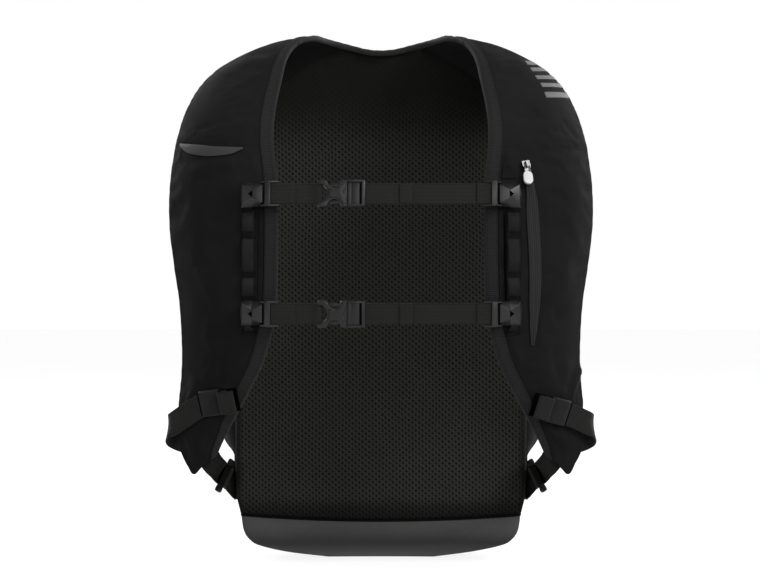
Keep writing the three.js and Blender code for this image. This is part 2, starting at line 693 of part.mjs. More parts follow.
function mirroredRibbon({ path, normals }, sign, width) {
  const flip = (list) => list.map((p) => mirrored(p, sign));
  return ribbon(flip(path), flip(normals), width, WEBBING);
}

// The strap starts behind the panel's end, square to its edge, and turns back towards the lock.
function strapStart() {
  const behind = -(HALF_PAD + GAP + WEBBING / 2 + 3.2);
  const seat = harnessOffset(1, STRAP_SEAT, 1, behind);
  const inner = harnessNormal(1, STRAP_SEAT, 1).negate();
  const edge = harnessPoint(1, 2 * STRAP_SEAT, 1).sub(harnessPoint(1, 0, 1)).normalize();
  const off = inner.clone().cross(edge).normalize();
  if (off.x > 0) off.negate();
  const path = [seat.clone().addScaledVector(off, -2), seat.clone().addScaledVector(off, 2)];
  path.push(v3(164.8, -86, -417), v3(163.9, -50, -423.5), v3(162.8, 0, -431.5), v3(164, 30, -436.5));
  const square = (i) => v3(...STRAP_ACROSS).cross(path[i + 1].clone().sub(path[i - 1])).normalize();
  return { path: path.slice(0, 5), normals: [inner, inner, square(2), square(3), square(4)] };
}

for (const { name, sign } of SIDES) {
  const start = strapStart();
  const strap = mirroredRibbon(roundBar(start.path, start.normals, 1), sign, LOWER_WIDTH);
  add(pack, `lower_strap_${name}`, strap, COLOURS.webbing);

  const root = [v3(152.9, 112, -450), v3(152.9, 99, -449.8), v3(153.2, 88, -449)];
  const out = root.map(() => v3(1, 0, 0));
  const tabWidths = [TAB_WIDTH, TAB_WIDTH, TAB_WIDTH - 3, LOWER_WIDTH + 2, LOWER_WIDTH];
  const tab = mirroredRibbon(roundBar(root, out, -1), sign, tabWidths);
  add(pack, `corner_tab_${name}`, tab, COLOURS.webbing);

  const { centre, forward, across, up: lockUp } = lockFrame();
  const lock = add(pack, `ladder_lock_${name}`, ladderLock(), COLOURS.plastic, 0.5);
  const basis = [forward, lockUp, across].map((p) => mirrored(p, sign));
  if (sign < 0) basis[1].negate();
  const turn = new THREE.Matrix4().makeBasis(basis[0], basis[1].negate(), basis[2]);
  lock.quaternion.setFromRotationMatrix(turn);
  lock.position.copy(mirrored(centre, sign));
}

// Stowed strap ends: folded over in front of the panel, through a keeper, round its outer edge
const KEEPER = { x: 163.5, z: -357.5, length: 15, wall: 1, clear: 0.45, seat: HALF_PAD + 2.8 };
const TAIL_ROLL = 20; // from the keeper's middle to the folded end
const TAIL_RUN = v3(-25, 0, 7.2); // the way from the keeper to the folded end, as seen from the front

function keeperFrame() {
  const { x, z, seat } = KEEPER;
  const normal = onHarnessNormal(1, x, z);
  const run = onHarness(1, x + TAIL_RUN.x / 5, z + TAIL_RUN.z / 5, 0).sub(onHarness(1, x, z, 0));
  run.addScaledVector(normal, -run.dot(normal)).normalize();
  return { centre: onHarness(1, x, z, seat), run, normal };
}

function tail() {
  const { centre, run, normal } = keeperFrame();
  const at = (x, n) => centre.clone().addScaledVector(run, x).addScaledVector(normal, n);
  const path = [at(TAIL_ROLL - 2, 3.2), at(TAIL_ROLL - 8, 3.2)];
  const normals = [normal, normal];
  const bend = (x, middle, radius, facing) => {
    for (let i = 0; i <= 6; i++) {
      const turn = (Math.PI * i) / 6;
      const [c, s] = [Math.cos(turn), Math.sin(turn)];
      path.push(at(x + facing * radius * s, middle + facing * radius * c));
      normals.push(run.clone().multiplyScalar(s).addScaledVector(normal, c).multiplyScalar(-facing));
    }
  };
  bend(TAIL_ROLL - 10, 4.9, 1.7, -1);
  bend(TAIL_ROLL, 3.3, 3.3, 1);
  path.push(at(9, 0), at(-9, 0));
  normals.push(normal, normal);
  const edge = seenAt(191, -374);
  const behind = (s) => harnessOffset(1, s, edge.v + 0.045, -(HALF_PAD + GAP + WEBBING / 2 + 1.9));
  path.push(v3(197.5, -105, -377), v3(206, -93, -383), v3(204.5, -83, -390), v3(198, -78, -395.5));
  normals.push(v3(0.5, -0.8, -0.2), v3(1, 0, 0), v3(0.7, 0.7, 0), v3(-0.2, 1, 0));
  path.push(behind(0.9), behind(0.8));
  normals.push(...[0.9, 0.8].map((s) => harnessNormal(1, s, edge.v + 0.045).negate()));
  return { path, normals };
}

for (const { name, sign } of SIDES) {
  add(pack, `strap_tail_${name}`, mirroredRibbon(tail(), sign, LOWER_WIDTH), COLOURS.webbing);
  const { length, wall, clear } = KEEPER;
  const [half, deep] = [LOWER_WIDTH / 2 + clear, WEBBING / 2 + clear];
  const outer = block([-length / 2, -deep - wall, -half - wall], [length / 2, deep + wall, half + wall]);
  const ring = outer.subtract(block([-length, -deep, -half], [length, deep, half]));
  const keeper = add(pack, `tail_keeper_${name}`, fromSolid(ring), COLOURS.webbing);
  const { centre, run, normal } = keeperFrame();
  const [along, out] = [mirrored(run, sign), mirrored(normal, sign)];
  const turn = new THREE.Matrix4().makeBasis(along, out, along.clone().cross(out));
  keeper.quaternion.setFromRotationMatrix(turn);
  keeper.position.copy(mirrored(centre, sign));
}

// Pull tab on the left panel's pocket: straight above, curved below
const POCKET_TAB = { from: 133, to: 190, top: -112, slope: 0.055, drop: 12.5 };

function pocketTabFace(height) {
  const { from, to, top, slope, drop } = POCKET_TAB;
  return (u, v) => {
    const x = lerp(from, to, u);
    const upper = top + slope * (x - from);
    const depth = 1 + drop * Math.sin(Math.PI * (0.06 + 0.88 * u)) ** 0.6;
    return onHarness(-1, x, upper - depth * v, HALF_PAD + GAP + height);
  };
}
add(pack, "pocket_tab", slab(14, 2, pocketTabFace(TRIM), pocketTabFace(0)), COLOURS.reflective, 0.5);

// Pocket zip on the right panel
const ZIP_WIDTH = 12; // half way down; the flap over the zip narrows to both ends
const ZIP_LINE = new THREE.CatmullRomCurve3([
  v3(136, 0, -126.5),
  v3(141.4, 0, -152),
  v3(143.6, 0, -185),
  v3(145.6, 0, -230),
  v3(144.6, 0, -268),
  v3(143.4, 0, -302),
]);

function zipFace(height) {
  return (u, v) => {
    const p = ZIP_LINE.getPoint(v);
    const along = ZIP_LINE.getTangent(v);
    const shift = (u - 0.5) * ZIP_WIDTH * (0.4 + 0.6 * Math.sin(Math.PI * v) ** 0.6);
    return onHarness(1, p.x - along.z * shift, p.z + along.x * shift, HALF_PAD + GAP + height);
  };
}
add(pack, "pocket_zip", slab(1, 22, zipFace(TRIM), zipFace(0)), COLOURS.zip, 0.5);

// The pocket zip's slider with its arch, and the pull that swings on the arch
const SLIDER_PLACE = 0.05; // along the zip
const PULL = { arch: 3.4, pin: 0.5, length: 20, width: 9, thick: 2.6, neck: 6 };
const PULL_LEAN = THREE.MathUtils.degToRad(6); // the pull lies a little towards the zip

function zipFrame() {
  const p = ZIP_LINE.getPoint(SLIDER_PLACE);
  const below = ZIP_LINE.getPoint(SLIDER_PLACE + 0.04);
  const seat = onHarness(1, p.x, p.z, HALF_PAD + GAP + TRIM + GAP);
  const normal = onHarnessNormal(1, p.x, p.z);
  const along = onHarness(1, below.x, below.z, HALF_PAD + GAP + TRIM + GAP).sub(seat);
  along.addScaledVector(normal, -along.dot(normal)).normalize();
  const across = normal.clone().cross(along);
  const frame = new THREE.Group();
  frame.position.copy(seat);
  const turn = new THREE.Matrix4().makeBasis(across, normal.negate(), along.negate());
  frame.quaternion.setFromRotationMatrix(turn);
  return frame;
}

// Local axes: x across the zip, -y away from the panel, -z down the zip.
function zipSlider() {
  const body = new THREE.Shape()
    .moveTo(-2.6, -5.5)
    .lineTo(2.6, -5.5)
    .lineTo(3.9, 0)
    .lineTo(3.9, 5)
    .lineTo(-3.9, 5)
    .lineTo(-3.9, 0);
  const arch = block([-1, -5.4, -1.8], [1, -1.8, 4]).subtract(block([-2, -4.4, -0.8], [2, -2.2, 2.9]));
  return fromSolid(plate(body, -2.2, 0).add(arch));
}

function zipPull() {
  const { pin, length, width, thick, neck } = PULL;
  const grip = new THREE.Shape()
    .moveTo(-2.2, -neck)
    .lineTo(2.2, -neck)
    .lineTo(width / 2, -neck - 3)
    .lineTo(width / 2, 3 - length)
    .quadraticCurveTo(width / 2, -length, 0, -length)
    .quadraticCurveTo(-width / 2, -length, -width / 2, 3 - length)
    .lineTo(-width / 2, -neck - 3);
  const arm = (side) => block([side * 2.05 - 0.55, -pin, -neck - 1], [side * 2.05 + 0.55, pin, pin]);
  const bar = block([-2.4, -pin, -pin], [2.4, pin, pin]);
  return fromSolid(plate(grip, -thick / 2, thick / 2).add(arm(-1)).add(arm(1)).add(bar));
}

const zip = zipFrame();
pack.add(zip);
add(zip, "zip_slider", zipSlider(), COLOURS.metal, 0.35, 0.9);
const pull = add(zip, "zip_pull", zipPull(), COLOURS.pull, 0.4);
pull.position.set(0, -PULL.arch, 0.1);
pull.rotation.x = -PULL_LEAN;

export default pack;
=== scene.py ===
import json
import math
from itertools import product

import bmesh
import bpy
import numpy as np
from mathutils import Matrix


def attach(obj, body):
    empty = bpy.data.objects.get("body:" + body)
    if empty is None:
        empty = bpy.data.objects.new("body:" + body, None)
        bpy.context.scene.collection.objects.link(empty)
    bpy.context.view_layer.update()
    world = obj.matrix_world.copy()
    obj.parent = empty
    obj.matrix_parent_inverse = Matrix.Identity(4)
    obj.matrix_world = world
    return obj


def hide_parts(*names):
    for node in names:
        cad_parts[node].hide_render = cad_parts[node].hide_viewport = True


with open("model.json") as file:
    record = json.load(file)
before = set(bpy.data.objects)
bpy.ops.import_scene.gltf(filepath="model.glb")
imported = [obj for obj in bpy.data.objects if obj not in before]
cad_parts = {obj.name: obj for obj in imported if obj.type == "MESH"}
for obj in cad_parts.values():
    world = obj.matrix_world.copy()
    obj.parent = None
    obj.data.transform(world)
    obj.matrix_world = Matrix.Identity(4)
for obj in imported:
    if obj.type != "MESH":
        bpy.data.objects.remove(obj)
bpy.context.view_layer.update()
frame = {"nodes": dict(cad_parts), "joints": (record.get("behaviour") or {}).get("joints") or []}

NODES = frame["nodes"]
SCENE = bpy.context.scene
MM = 0.001
SIDES = {"left": -1, "right": 1}

# Driving dimensions in millimetres, the same as the solids have
STRAP_PAD = 4.0
FACE = STRAP_PAD / 2  # a panel's outer face, over its middle surface
BACK_PAD = 12.0
WEBBING = 1.4
WEBBING_WIDTH = 20.0
LOWER_WIDTH = 22.0
BINDING_WIDTH = 13.0
TAPE = 1.2
CHAIN_WIDTH = 12.0
BACK_HALF_WIDTH = 151.0
YOKE_HALF_WIDTH = 146.0
NECK_HALF_WIDTH = 41.0
BASE_HALF_WIDTH = 145.0
BASE_DEPTH = 147.0
BACK_DEPTH = 78.0
BACK_TOP = -4.0
NECK_TOP = -1.2
BASE_SEAM = -484.0
BASE_SEAM_DIP = 6.5
BASE_FOOT = -532.0
ZIP_PLANE = 160.0
ZIP_LOWEST = -230.0
FRONT_GAP = 0.7
ROUNDNESS = 2 / 3.2
CHAIN_X = 128.0
CHAIN_SEEN = CHAIN_X - 3.0
CHAIN_ENDS = (-149.5, -292.0)
UPPER_STRAP_Z = -161.0
LOWER_STRAP_Z = -271.0
BUCKLE_X = -37.5
PANEL_LONG = 690.0
PANEL_FRONT_LONG = 560.0
PANEL_FRONT = 0.2  # where a panel's front starts, along it from the yoke

# Camera: place and focal length of the photograph's view, its middle pixel, and a pixel's
# size for each millimetre of distance
CAMERA = (-0.95, -2545.0, -244.8)
FOCAL = 119.67
PHOTO_MIDDLE = (381.0, 285.0)
PIXEL = 0.95 / 2400

# Bag: height, half width, depth and swell
BAG_SECTIONS = np.array([
    (-18, 42, 20, 0),
    (-25, 68, 47, 0),
    (-36, 92, 76, 0),
    (-55, 116, 101, 4),
    (-80, 135, 116, 10),
    (-115, 145, 126, 20),
    (-200, 149, 136, 36),
    (-330, 151, 144, 46),
    (-396, 151, 147, 46),
    (-411, 151, 148, 36),
    (-423, 151, 148, 12),
    (-432, 151, 148, 4),
    (-466, 149.5, 148, 0),
    (-484, 145, 147, 0),
], float)

# Base: drop below its seam, and size as a share of the seam's
BASE_SECTIONS = np.array([
    (0, 1.0),
    (15.5, 0.982),
    (25.5, 0.94),
    (32, 0.87),
    (40, 0.68),
    (46.5, 0.44),
    (48, 0.36),
    (48, 0.18),
    (48, 0.01),
])

# Right harness panel, from the yoke down: inner edge, pull of the curve between, outer edge
HARNESS_SECTIONS = np.array([
    ((41, 60.8, 0), (95, 59.4, -20), (146, 65.4, -76)),
    ((60, 36, 3), (110, 40, -4), (153, 38, -46)),
    ((72, 2, 3), (116, 2, -1), (161, 2, -31)),
    ((83, -20, -3), (130, -30, -11), (172, -17, -39)),
    ((93, -47, -20), (150, -62, -30), (183, -34, -55)),
    ((98.5, -78, -48), (160, -92, -58), (192, -49, -75)),
    ((103, -103, -77), (166, -113, -84), (198, -60, -96)),
    ((104, -123, -106), (170, -129, -110), (202, -67, -117)),
    ((99.5, -139, -147), (170, -144, -148), (205.5, -74, -150)),
    ((98.5, -145, -190), (168, -150, -190), (205.5, -79, -186)),
    ((99, -147, -235), (166, -152, -232), (200.5, -85, -226)),
    ((101.5, -146, -275), (164, -150, -270), (195, -89, -262)),
    ((112, -139, -316), (164, -145, -308), (192.5, -91, -303)),
    ((126, -130, -345), (168, -137, -338), (193, -91, -332)),
    ((140, -119, -371), (175, -125, -370), (195.5, -90, -362)),
    ((150, -112, -389), (179, -116, -396), (195, -90, -399)),
    ((159, -104, -407), (172, -106, -419), (182, -95, -431)),
], float)
RIDGE = 2 / (len(HARNESS_SECTIONS) - 1)  # where the panels cross the shoulders

# Pocket zip on the right panel and the seam over each pocket, x and z as seen from the front
ZIP_LINE = np.array([
    (136, -126.5), (141.4, -152), (143.6, -185), (145.6, -230), (144.6, -268), (143.4, -302),
], float)
POCKET_SEAM = {"left": (193, -107.3, 117, -114.6), "right": (194, -113.8, 115, -115.6)}

# Folds of each panel as seen from the front: x and z of two ends, half width and height
FOLDS = {
    "left": (
        (186, -384, 180, -414, 3.0, 2.1),
        (171, -389, 176, -408, 3.0, 1.68),
        (151, -312, 152, -339, 4.0, -1.68),
        (147, -322, 149, -349, 3.0, 1.4),
        (178, -333, 181, -358, 6.0, 1.96),
        (160, -300, 172, -330, 7.0, 1.4),
        (117.5, -113, 123, -142, 1.3, 1.26),
        (119, -118, 129, -143, 1.4, 1.12),
        (152, -225, 175, -285, 14.0, 1.4),
    ),
    "right": (
        (192, -325, 182, -352, 2.6, 3.08),
        (180, -318, 172, -350, 4.5, 1.4),
        (155, -377, 181, -402, 4.0, 2.1),
        (168, -372, 188, -392, 4.0, -1.4),
        (116.5, -292, 119, -312, 3.0, -1.68),
        (125, -296, 131, -330, 4.0, 1.4),
        (117.5, -118, 124.5, -143, 1.4, 1.26),
        (120, -117, 133, -143, 1.6, 1.12),
        (165, -200, 180, -270, 14.0, 1.4),
    ),
}
BACK_FOLDS = (
    (30, -425, 135, -372, 20, -4.0),
    (-20, -395, 60, -345, 30, 2.0),
    (60, -455, 130, -430, 18, 1.5),
    (-110, -440, -30, -455, 16, -2.0),
)

# Narrow webbing: top, foot and height of each loop, and the tacked places between them
CHAIN_LOOPS = (
    (-144, -172, 7.4),
    (-176, -195, 4.2),
    (-201, -233, 4.6),
    (-238, -256, 4.2),
    (-259.5, -287.5, 7.4),
)
CLIP_LOOP = 7.0  # a loop at least this high lies over a clip's hook
TACK_ZONES = ((-173.0, -176.5), (-194.5, -201.5), (-232.5, -238.5), (-255.5, -260.0), (-287.5, -291.0))


# Curves and surfaces
def vec(*p):
    return np.array(p, float)


def unit(v):
    return v / np.maximum(np.linalg.norm(v, axis=-1, keepdims=True), 1e-12)


def lerp(a, b, t):
    return a + (b - a) * t


def smooth(x):
    """An eased step from 0 to 1."""
    x = np.clip(x, 0, 1)
    return x * x * (3 - 2 * x)


def hump(x, width):
    return np.exp(-((x / width) ** 2))


def grouped(*parts):
    """Arrays, each spread over the others, as pairs or points."""
    return np.stack(np.broadcast_arrays(*parts), -1)


def spline(points, t):
    """A smooth curve through the points; t from 0 to 1 in equal steps a point."""
    p = np.asarray(points, float)
    t = np.clip(np.asarray(t, float), 0, 1) * (len(p) - 1)
    i = np.minimum(t.astype(int), len(p) - 2)
    w = (t - i)[..., None]
    e = np.concatenate([2 * p[:1] - p[1:2], p, 2 * p[-1:] - p[-2:-1]])
    a, b, c, d = e[i], e[i + 1], e[i + 2], e[i + 3]
    m, n = (c - a) / 2, (d - b) / 2
    h = (2 * w**3 - 3 * w**2 + 1) * b + (w**3 - 2 * w**2 + w) * m
    return h + (3 * w**2 - 2 * w**3) * c + (w**3 - w**2) * n


def lengths(path):
    """The distance along a path to each of its points."""
    return np.concatenate([[0], np.cumsum(np.linalg.norm(np.diff(path, axis=0), axis=1))])


def resample(path, where, *more):
    """The path, and lists that go with it, at the given distances along it."""
    at = lengths(path)
    lists = [np.asarray(x, float) for x in (path, *more)]
    return [np.stack([np.interp(where, at, column) for column in x.T], -1) for x in lists]


def dense(path, normals):
    """A path and its normals, with seven steps from each point to the next."""
    t = np.linspace(0, 1, (len(path) - 1) * 7 + 1)
    return spline(path, t), unit(spline(normals, t))


def sample(grid, s, v):
    """A grid's values between its points; s from 0 to 1 along its rows and v down them."""
    rows, columns = grid.shape[:2]
    a, b = np.clip(s, 0, 1) * (columns - 1), np.clip(v, 0, 1) * (rows - 1)
    i, j = np.minimum(a.astype(int), columns - 2), np.minimum(b.astype(int), rows - 2)
    fa, fb = (a - i)[..., None], (b - j)[..., None]
    near = grid[j, i] * (1 - fa) + grid[j, i + 1] * fa
    far = grid[j + 1, i] * (1 - fa) + grid[j + 1, i + 1] * fa
    return near * (1 - fb) + far * fb


def to_line(x, z, x0, z0, x1, z1):
    """Distance from a line between two points, and the place along it from 0 to 1."""
    dx, dz = x1 - x0, z1 - z0
    t = ((x - x0) * dx + (z - z0) * dz) / (dx * dx + dz * dz)
    c = np.clip(t, 0, 1)
    return np.hypot(x - x0 - c * dx, z - z0 - c * dz), t


def folds(x, z, rows, ease):
    """The height of all folds in a table at x and z; ease is the share in which their ends run out."""
    total = np.zeros_like(x)
    for x0, z0, x1, z1, half, high in rows:
        distance, t = to_line(x, z, x0, z0, x1, z1)
        ends = smooth((t + ease) / (2 * ease)) * smooth((1 + ease - t) / (2 * ease))
        total += high * hump(distance, half) * ends
    return total


def harness(s, v):
    """The right harness panel's middle surface; s across from the inner edge, v along from the yoke."""
    s, v = np.broadcast_arrays(np.asarray(s, float), np.asarray(v, float))
    s = s[..., None]
    inner, pull, outer = (spline(HARNESS_SECTIONS[:, k], v) for k in range(3))
    return inner * (1 - s) ** 2 + pull * 2 * s * (1 - s) + outer * s * s


def harness_normal(s, v):
    s, v = np.broadcast_arrays(np.asarray(s, float), np.asarray(v, float))
    e = 1e-3
    across = harness(np.clip(s + e, 0, 1), v) - harness(np.clip(s - e, 0, 1), v)
    along = harness(s, np.clip(v + e, 0, 1)) - harness(s, np.clip(v - e, 0, 1))
    return unit(np.cross(along, across))


def chord(v, first, last):
    """How far two places across the panel lie apart, at each place along it."""
    return np.linalg.norm(harness(last, v) - harness(first, v), axis=-1)


SEEK_S, SEEK_V = np.meshgrid(np.linspace(0, 1, 21), np.linspace(8 / 60, 1, 53))
SEEK = harness(SEEK_S, SEEK_V).reshape(-1, 3)


def seen_at(x, z):
    """The place on the right panel that a level view from the front sees at x and z, as s and v."""
    x, z = np.broadcast_arrays(np.asarray(x, float), np.asarray(z, float))
    shape = x.shape
    x, z = x.ravel(), z.ravel()
    near = np.argmin((SEEK[:, 0] - x[:, None]) ** 2 + (SEEK[:, 2] - z[:, None]) ** 2, axis=1)
    s, v = SEEK_S.ravel()[near], SEEK_V.ravel()[near]
    e = 1e-4
    for _ in range(12):
        p = harness(s, v)
        a = (harness(s + e, v) - p) / e
        b = (harness(s, np.minimum(1, v + e)) - p) / e
        det = a[:, 0] * b[:, 2] - b[:, 0] * a[:, 2]
        det = np.where(np.abs(det) < 1e-6, 1e-6, det)
        dx, dz = x - p[:, 0], z - p[:, 2]
        s = np.clip(s + (dx * b[:, 2] - b[:, 0] * dz) / det, -0.1, 1.1)
        v = np.clip(v + (a[:, 0] * dz - dx * a[:, 2]) / det, 0, 1)
    return s.reshape(shape), v.reshape(shape)


def pixel_size(y):
    """Millimetres a pixel at a depth."""
    return PIXEL * (y - CAMERA[1])


def seen_pixel(px, py):
    """The place on the right panel behind a point of the photograph, as s and v."""
    px, py = np.broadcast_arrays(np.asarray(px, float), np.asarray(py, float))
    y = np.full(px.shape, -120.0)
    for _ in range(6):
        k = pixel_size(y)
        s, v = seen_at((px - PHOTO_MIDDLE[0]) * k, CAMERA[2] - (py - PHOTO_MIDDLE[1]) * k)
        y = harness(np.clip(s, 0, 1), v)[..., 1]
    return s, v


def photo_row(s, v):
    """The photograph's row on which a place of the panel appears."""
    p = harness(s, v)
    return PHOTO_MIDDLE[1] + (CAMERA[2] - p[..., 2]) / pixel_size(p[..., 1])


def back_face(x, z):
    """Depth of the padded back's face, which leans forward at the neck."""
    return BACK_DEPTH - 15 * hump(z - 5, 75) - 6 * (x / BACK_HALF_WIDTH) ** 2


def bag_size(z):
    """Half width, depth and swell of the bag at a height."""
    rows = BAG_SECTIONS[::-1]
    return [np.interp(z, rows[:, 0], rows[:, k]) for k in (1, 2, 3)]


def seam_dip(x):
    """Height of the base's seam across the back, lowest in the middle."""
    return BASE_SEAM - BASE_SEAM_DIP * (1 - (x / BASE_HALF_WIDTH) ** 2)


YOKE = harness(np.linspace(0, 1, 200), np.zeros(200))


def back_top(share):
    """Height of the padded back's top edge, from the neck out to the yoke seams."""
    width = np.abs(share) * YOKE_HALF_WIDTH
    inside = lerp(BACK_TOP, NECK_TOP, (width / NECK_HALF_WIDTH) ** 2)
    over = lerp(NECK_TOP, 2, np.clip((width - NECK_HALF_WIDTH) / 20, 0, 1))
    return np.where(width < NECK_HALF_WIDTH, inside, np.interp(width, YOKE[:, 0], YOKE[:, 2]) + over)


def back_point(u, v, depth):
    """A point of the padded back; u across it, v down it, and its depth behind the face."""
    share = 2 * u - 1
    z = lerp(back_top(share), seam_dip(share * BASE_HALF_WIDTH) + 0.8, v)
    half = lerp(YOKE_HALF_WIDTH, bag_size(np.minimum(z, -115))[0], np.clip(4 * v, 0, 1))
    x = share * half
    return grouped(x, back_face(x, z) + depth, z)


# Meshes
def link(obj):
    SCENE.collection.objects.link(obj)
    return obj


def quads_of(grid):
    corners = [grid[:-1, :-1], grid[:-1, 1:], grid[1:, 1:], grid[1:, :-1]]
    return np.stack(corners, 2).reshape(-1, 4, *grid.shape[2:])


def outward(points, quads, corners):
    """The points, faces and face UVs, with the faces turned outward."""
    a, b, c, d = (points[quads[:, k]] for k in range(4))
    if (np.cross(b, c) * a).sum() + (np.cross(c, d) * a).sum() < 0:
        quads, corners = quads[:, ::-1], corners[:, ::-1]
    return points, quads, corners


def closed_sheet(front, back, uv):
    """Points, faces and face UVs of a closed sheet between two layers that share their border."""
    rows, columns = front.shape[:2]
    first = np.arange(rows * columns).reshape(rows, columns)
    second = first.copy()
    inner = np.arange((rows - 2) * (columns - 2)).reshape(rows - 2, columns - 2)
    second[1:-1, 1:-1] = rows * columns + inner
    points = np.concatenate([front.reshape(-1, 3), back[1:-1, 1:-1].reshape(-1, 3)])
    quads = np.concatenate([quads_of(first), quads_of(second)[:, ::-1]])
    return outward(points, quads, np.concatenate([quads_of(uv), quads_of(uv)[:, ::-1]]))


def closed_tube(grid, uv, ring=False):
    """Points, faces and face UVs of a grid that closes round its columns, and in a ring round its rows."""
    rows, columns = grid.shape[:2]
    index = np.arange(rows * columns).reshape(rows, columns)
    index = np.concatenate([index, index[:, :1]], 1)
    if ring:
        index = np.concatenate([index, index[:1]])
    return outward(grid.reshape(-1, 3), quads_of(index), quads_of(uv))


def make(name, shape, look, replaces=(), body="pack", sharp=None):
    """A piece that rides on a body; its shape is points in millimetres, faces and, for cloth, face UVs."""
    points, faces, *uv = shape
    mesh = bpy.data.meshes.new(name)
    mesh.from_pydata((np.asarray(points, float) * MM).tolist(), [], [list(map(int, f)) for f in faces])
    if uv:
        layer = mesh.uv_layers.new(name="cloth")
        layer.data.foreach_set("uv", np.asarray(uv[0], np.float32).reshape(-1) * MM)
    mesh.materials.append(look)
    mesh.polygons.foreach_set("use_smooth", np.ones(len(mesh.polygons), bool))
    if sharp is not None:
        mesh.set_sharp_from_angle(angle=math.radians(sharp))
    mesh.update()
    obj = link(bpy.data.objects.new(name, mesh))
    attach(obj, body)
    if replaces:
        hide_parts(*replaces)
    return obj


def rim_samples(length, radius, inner):
    """Places from 0 to length, close together in the rounded rims, and the share of thickness there."""
    turn = np.linspace(0, math.pi / 2, 4)
    edge = radius * (1 - np.cos(turn))
    middle = np.linspace(radius, length - radius, max(2, inner) + 2)[1:-1]
    where = np.concatenate([edge, middle, length - edge[::-1]])
    share = np.concatenate([np.sin(turn), np.ones(len(middle)), np.sin(turn)[::-1]])
    return where, share


def band(name, path, normals, width, thickness, look, replaces=(), step=2.0, across=10, relief=None):
    """A strip of webbing along a dense path, with its face to the normals and rounded edges."""
    total = lengths(path)[-1]
    where, ends = rim_samples(total, thickness / 2, int(total / step))
    middle, up = resample(path, where, normals)
    along = unit(np.gradient(middle, axis=0))
    side = unit(np.cross(up, along))
    up = unit(np.cross(along, side))
    wide = width(where / total) if callable(width) else np.full(len(where), float(width))
    u, edges = rim_samples(1.0, 0.5 * thickness / wide.mean(), across)
    place = (u[None] - 0.5) * wide[:, None]
    share = ends[:, None] * edges[None]
    mid = middle[:, None] + side[:, None] * place[..., None]
    half = (thickness / 2) * share
    lift = np.zeros_like(half) if relief is None else relief(place, where[:, None], total) * share
    front = mid + up[:, None] * (half + lift)[..., None]
    back = mid - up[:, None] * (half - np.minimum(lift, 0))[..., None]
    make(name, closed_sheet(front, back, grouped(place, where[:, None])), look, replaces)


def tube(name, path, radius, look, replaces=(), sides=14, wobble=None, body="pack"):
    """A closed round cord along a dense path."""
    along = unit(np.gradient(path, axis=0))
    up = np.zeros_like(path)
    n = np.cross(along[0], vec(0.3, 0.2, 1))
    for i, t in enumerate(along):
        n = unit(n - t * (n @ t))
        up[i] = n
    side = np.cross(along, up)
    turn = np.linspace(0, 2 * math.pi, sides + 1)
    around = turn[None, :-1, None]
    size = np.broadcast_to(radius, len(path)).astype(float)
    reach = np.repeat(size[:, None], sides, 1)
    if wobble is not None:
        reach = reach + wobble(lengths(path)[:, None], turn[None, :-1])
    grid = path[:, None] + (np.cos(around) * up[:, None] + np.sin(around) * side[:, None]) * reach[..., None]
    uv = grouped(turn[None] * size.mean(), lengths(path)[:, None])
    points, faces, corners = closed_tube(grid, uv)
    first, last = np.arange(sides), np.arange(len(points) - sides, len(points))
    turned = faces[0][0] != 0
    caps = [first, last[::-1]] if turned else [first[::-1], last]
    corners = np.concatenate([corners.reshape(-1, 2), np.zeros((2 * sides, 2))])
    make(name, (points, [*faces, *caps], corners), look, replaces, body)


def repeated(copies, sides):
    """Points and faces of many copies of a small shape, each with the same sides."""
    starts = range(0, copies.shape[0] * copies.shape[1], copies.shape[1])
    return copies.reshape(-1, 3), [[start + k for k in side] for start in starts for side in sides]


# One stitch: its points along, across and over the cloth, and its sides
STITCH = np.array([
    (-1, 0, 0), (-0.5, -1, 0), (0.5, -1, 0), (1, 0, 0), (0.5, 1, 0), (-0.5, 1, 0), (-0.5, 0, 1), (0.5, 0, 1),
])
STITCH_SIDES = ((0, 1, 6), (1, 2, 7, 6), (2, 3, 7), (3, 4, 7), (4, 5, 6, 7), (5, 0, 6))


def stitches(name, lines, look, pitch=3.4, length=2.3, width=0.75, height=0.45):
    """Rows of thread: each line is a path with the normals of the cloth under it."""
    x, y, z = (STITCH[:, k, None] for k in range(3))
    rows = []
    for path, normals in lines:
        total = lengths(path)[-1]
        where = np.arange(pitch / 2, total, pitch)
        at, up = resample(path, where, normals)
        ahead, = resample(path, np.minimum(where + 0.2, total))
        behind, = resample(path, np.maximum(where - 0.2, 0))
        forward, up = unit(ahead - behind)[:, None], unit(up)[:, None]
        across = np.cross(up, forward)
        flat = at[:, None] + forward * x * length / 2 + across * y * width / 2
        rows.append(flat + up * (z * height - 0.05))
    make(name, repeated(np.concatenate(rows), STITCH_SIDES), look)


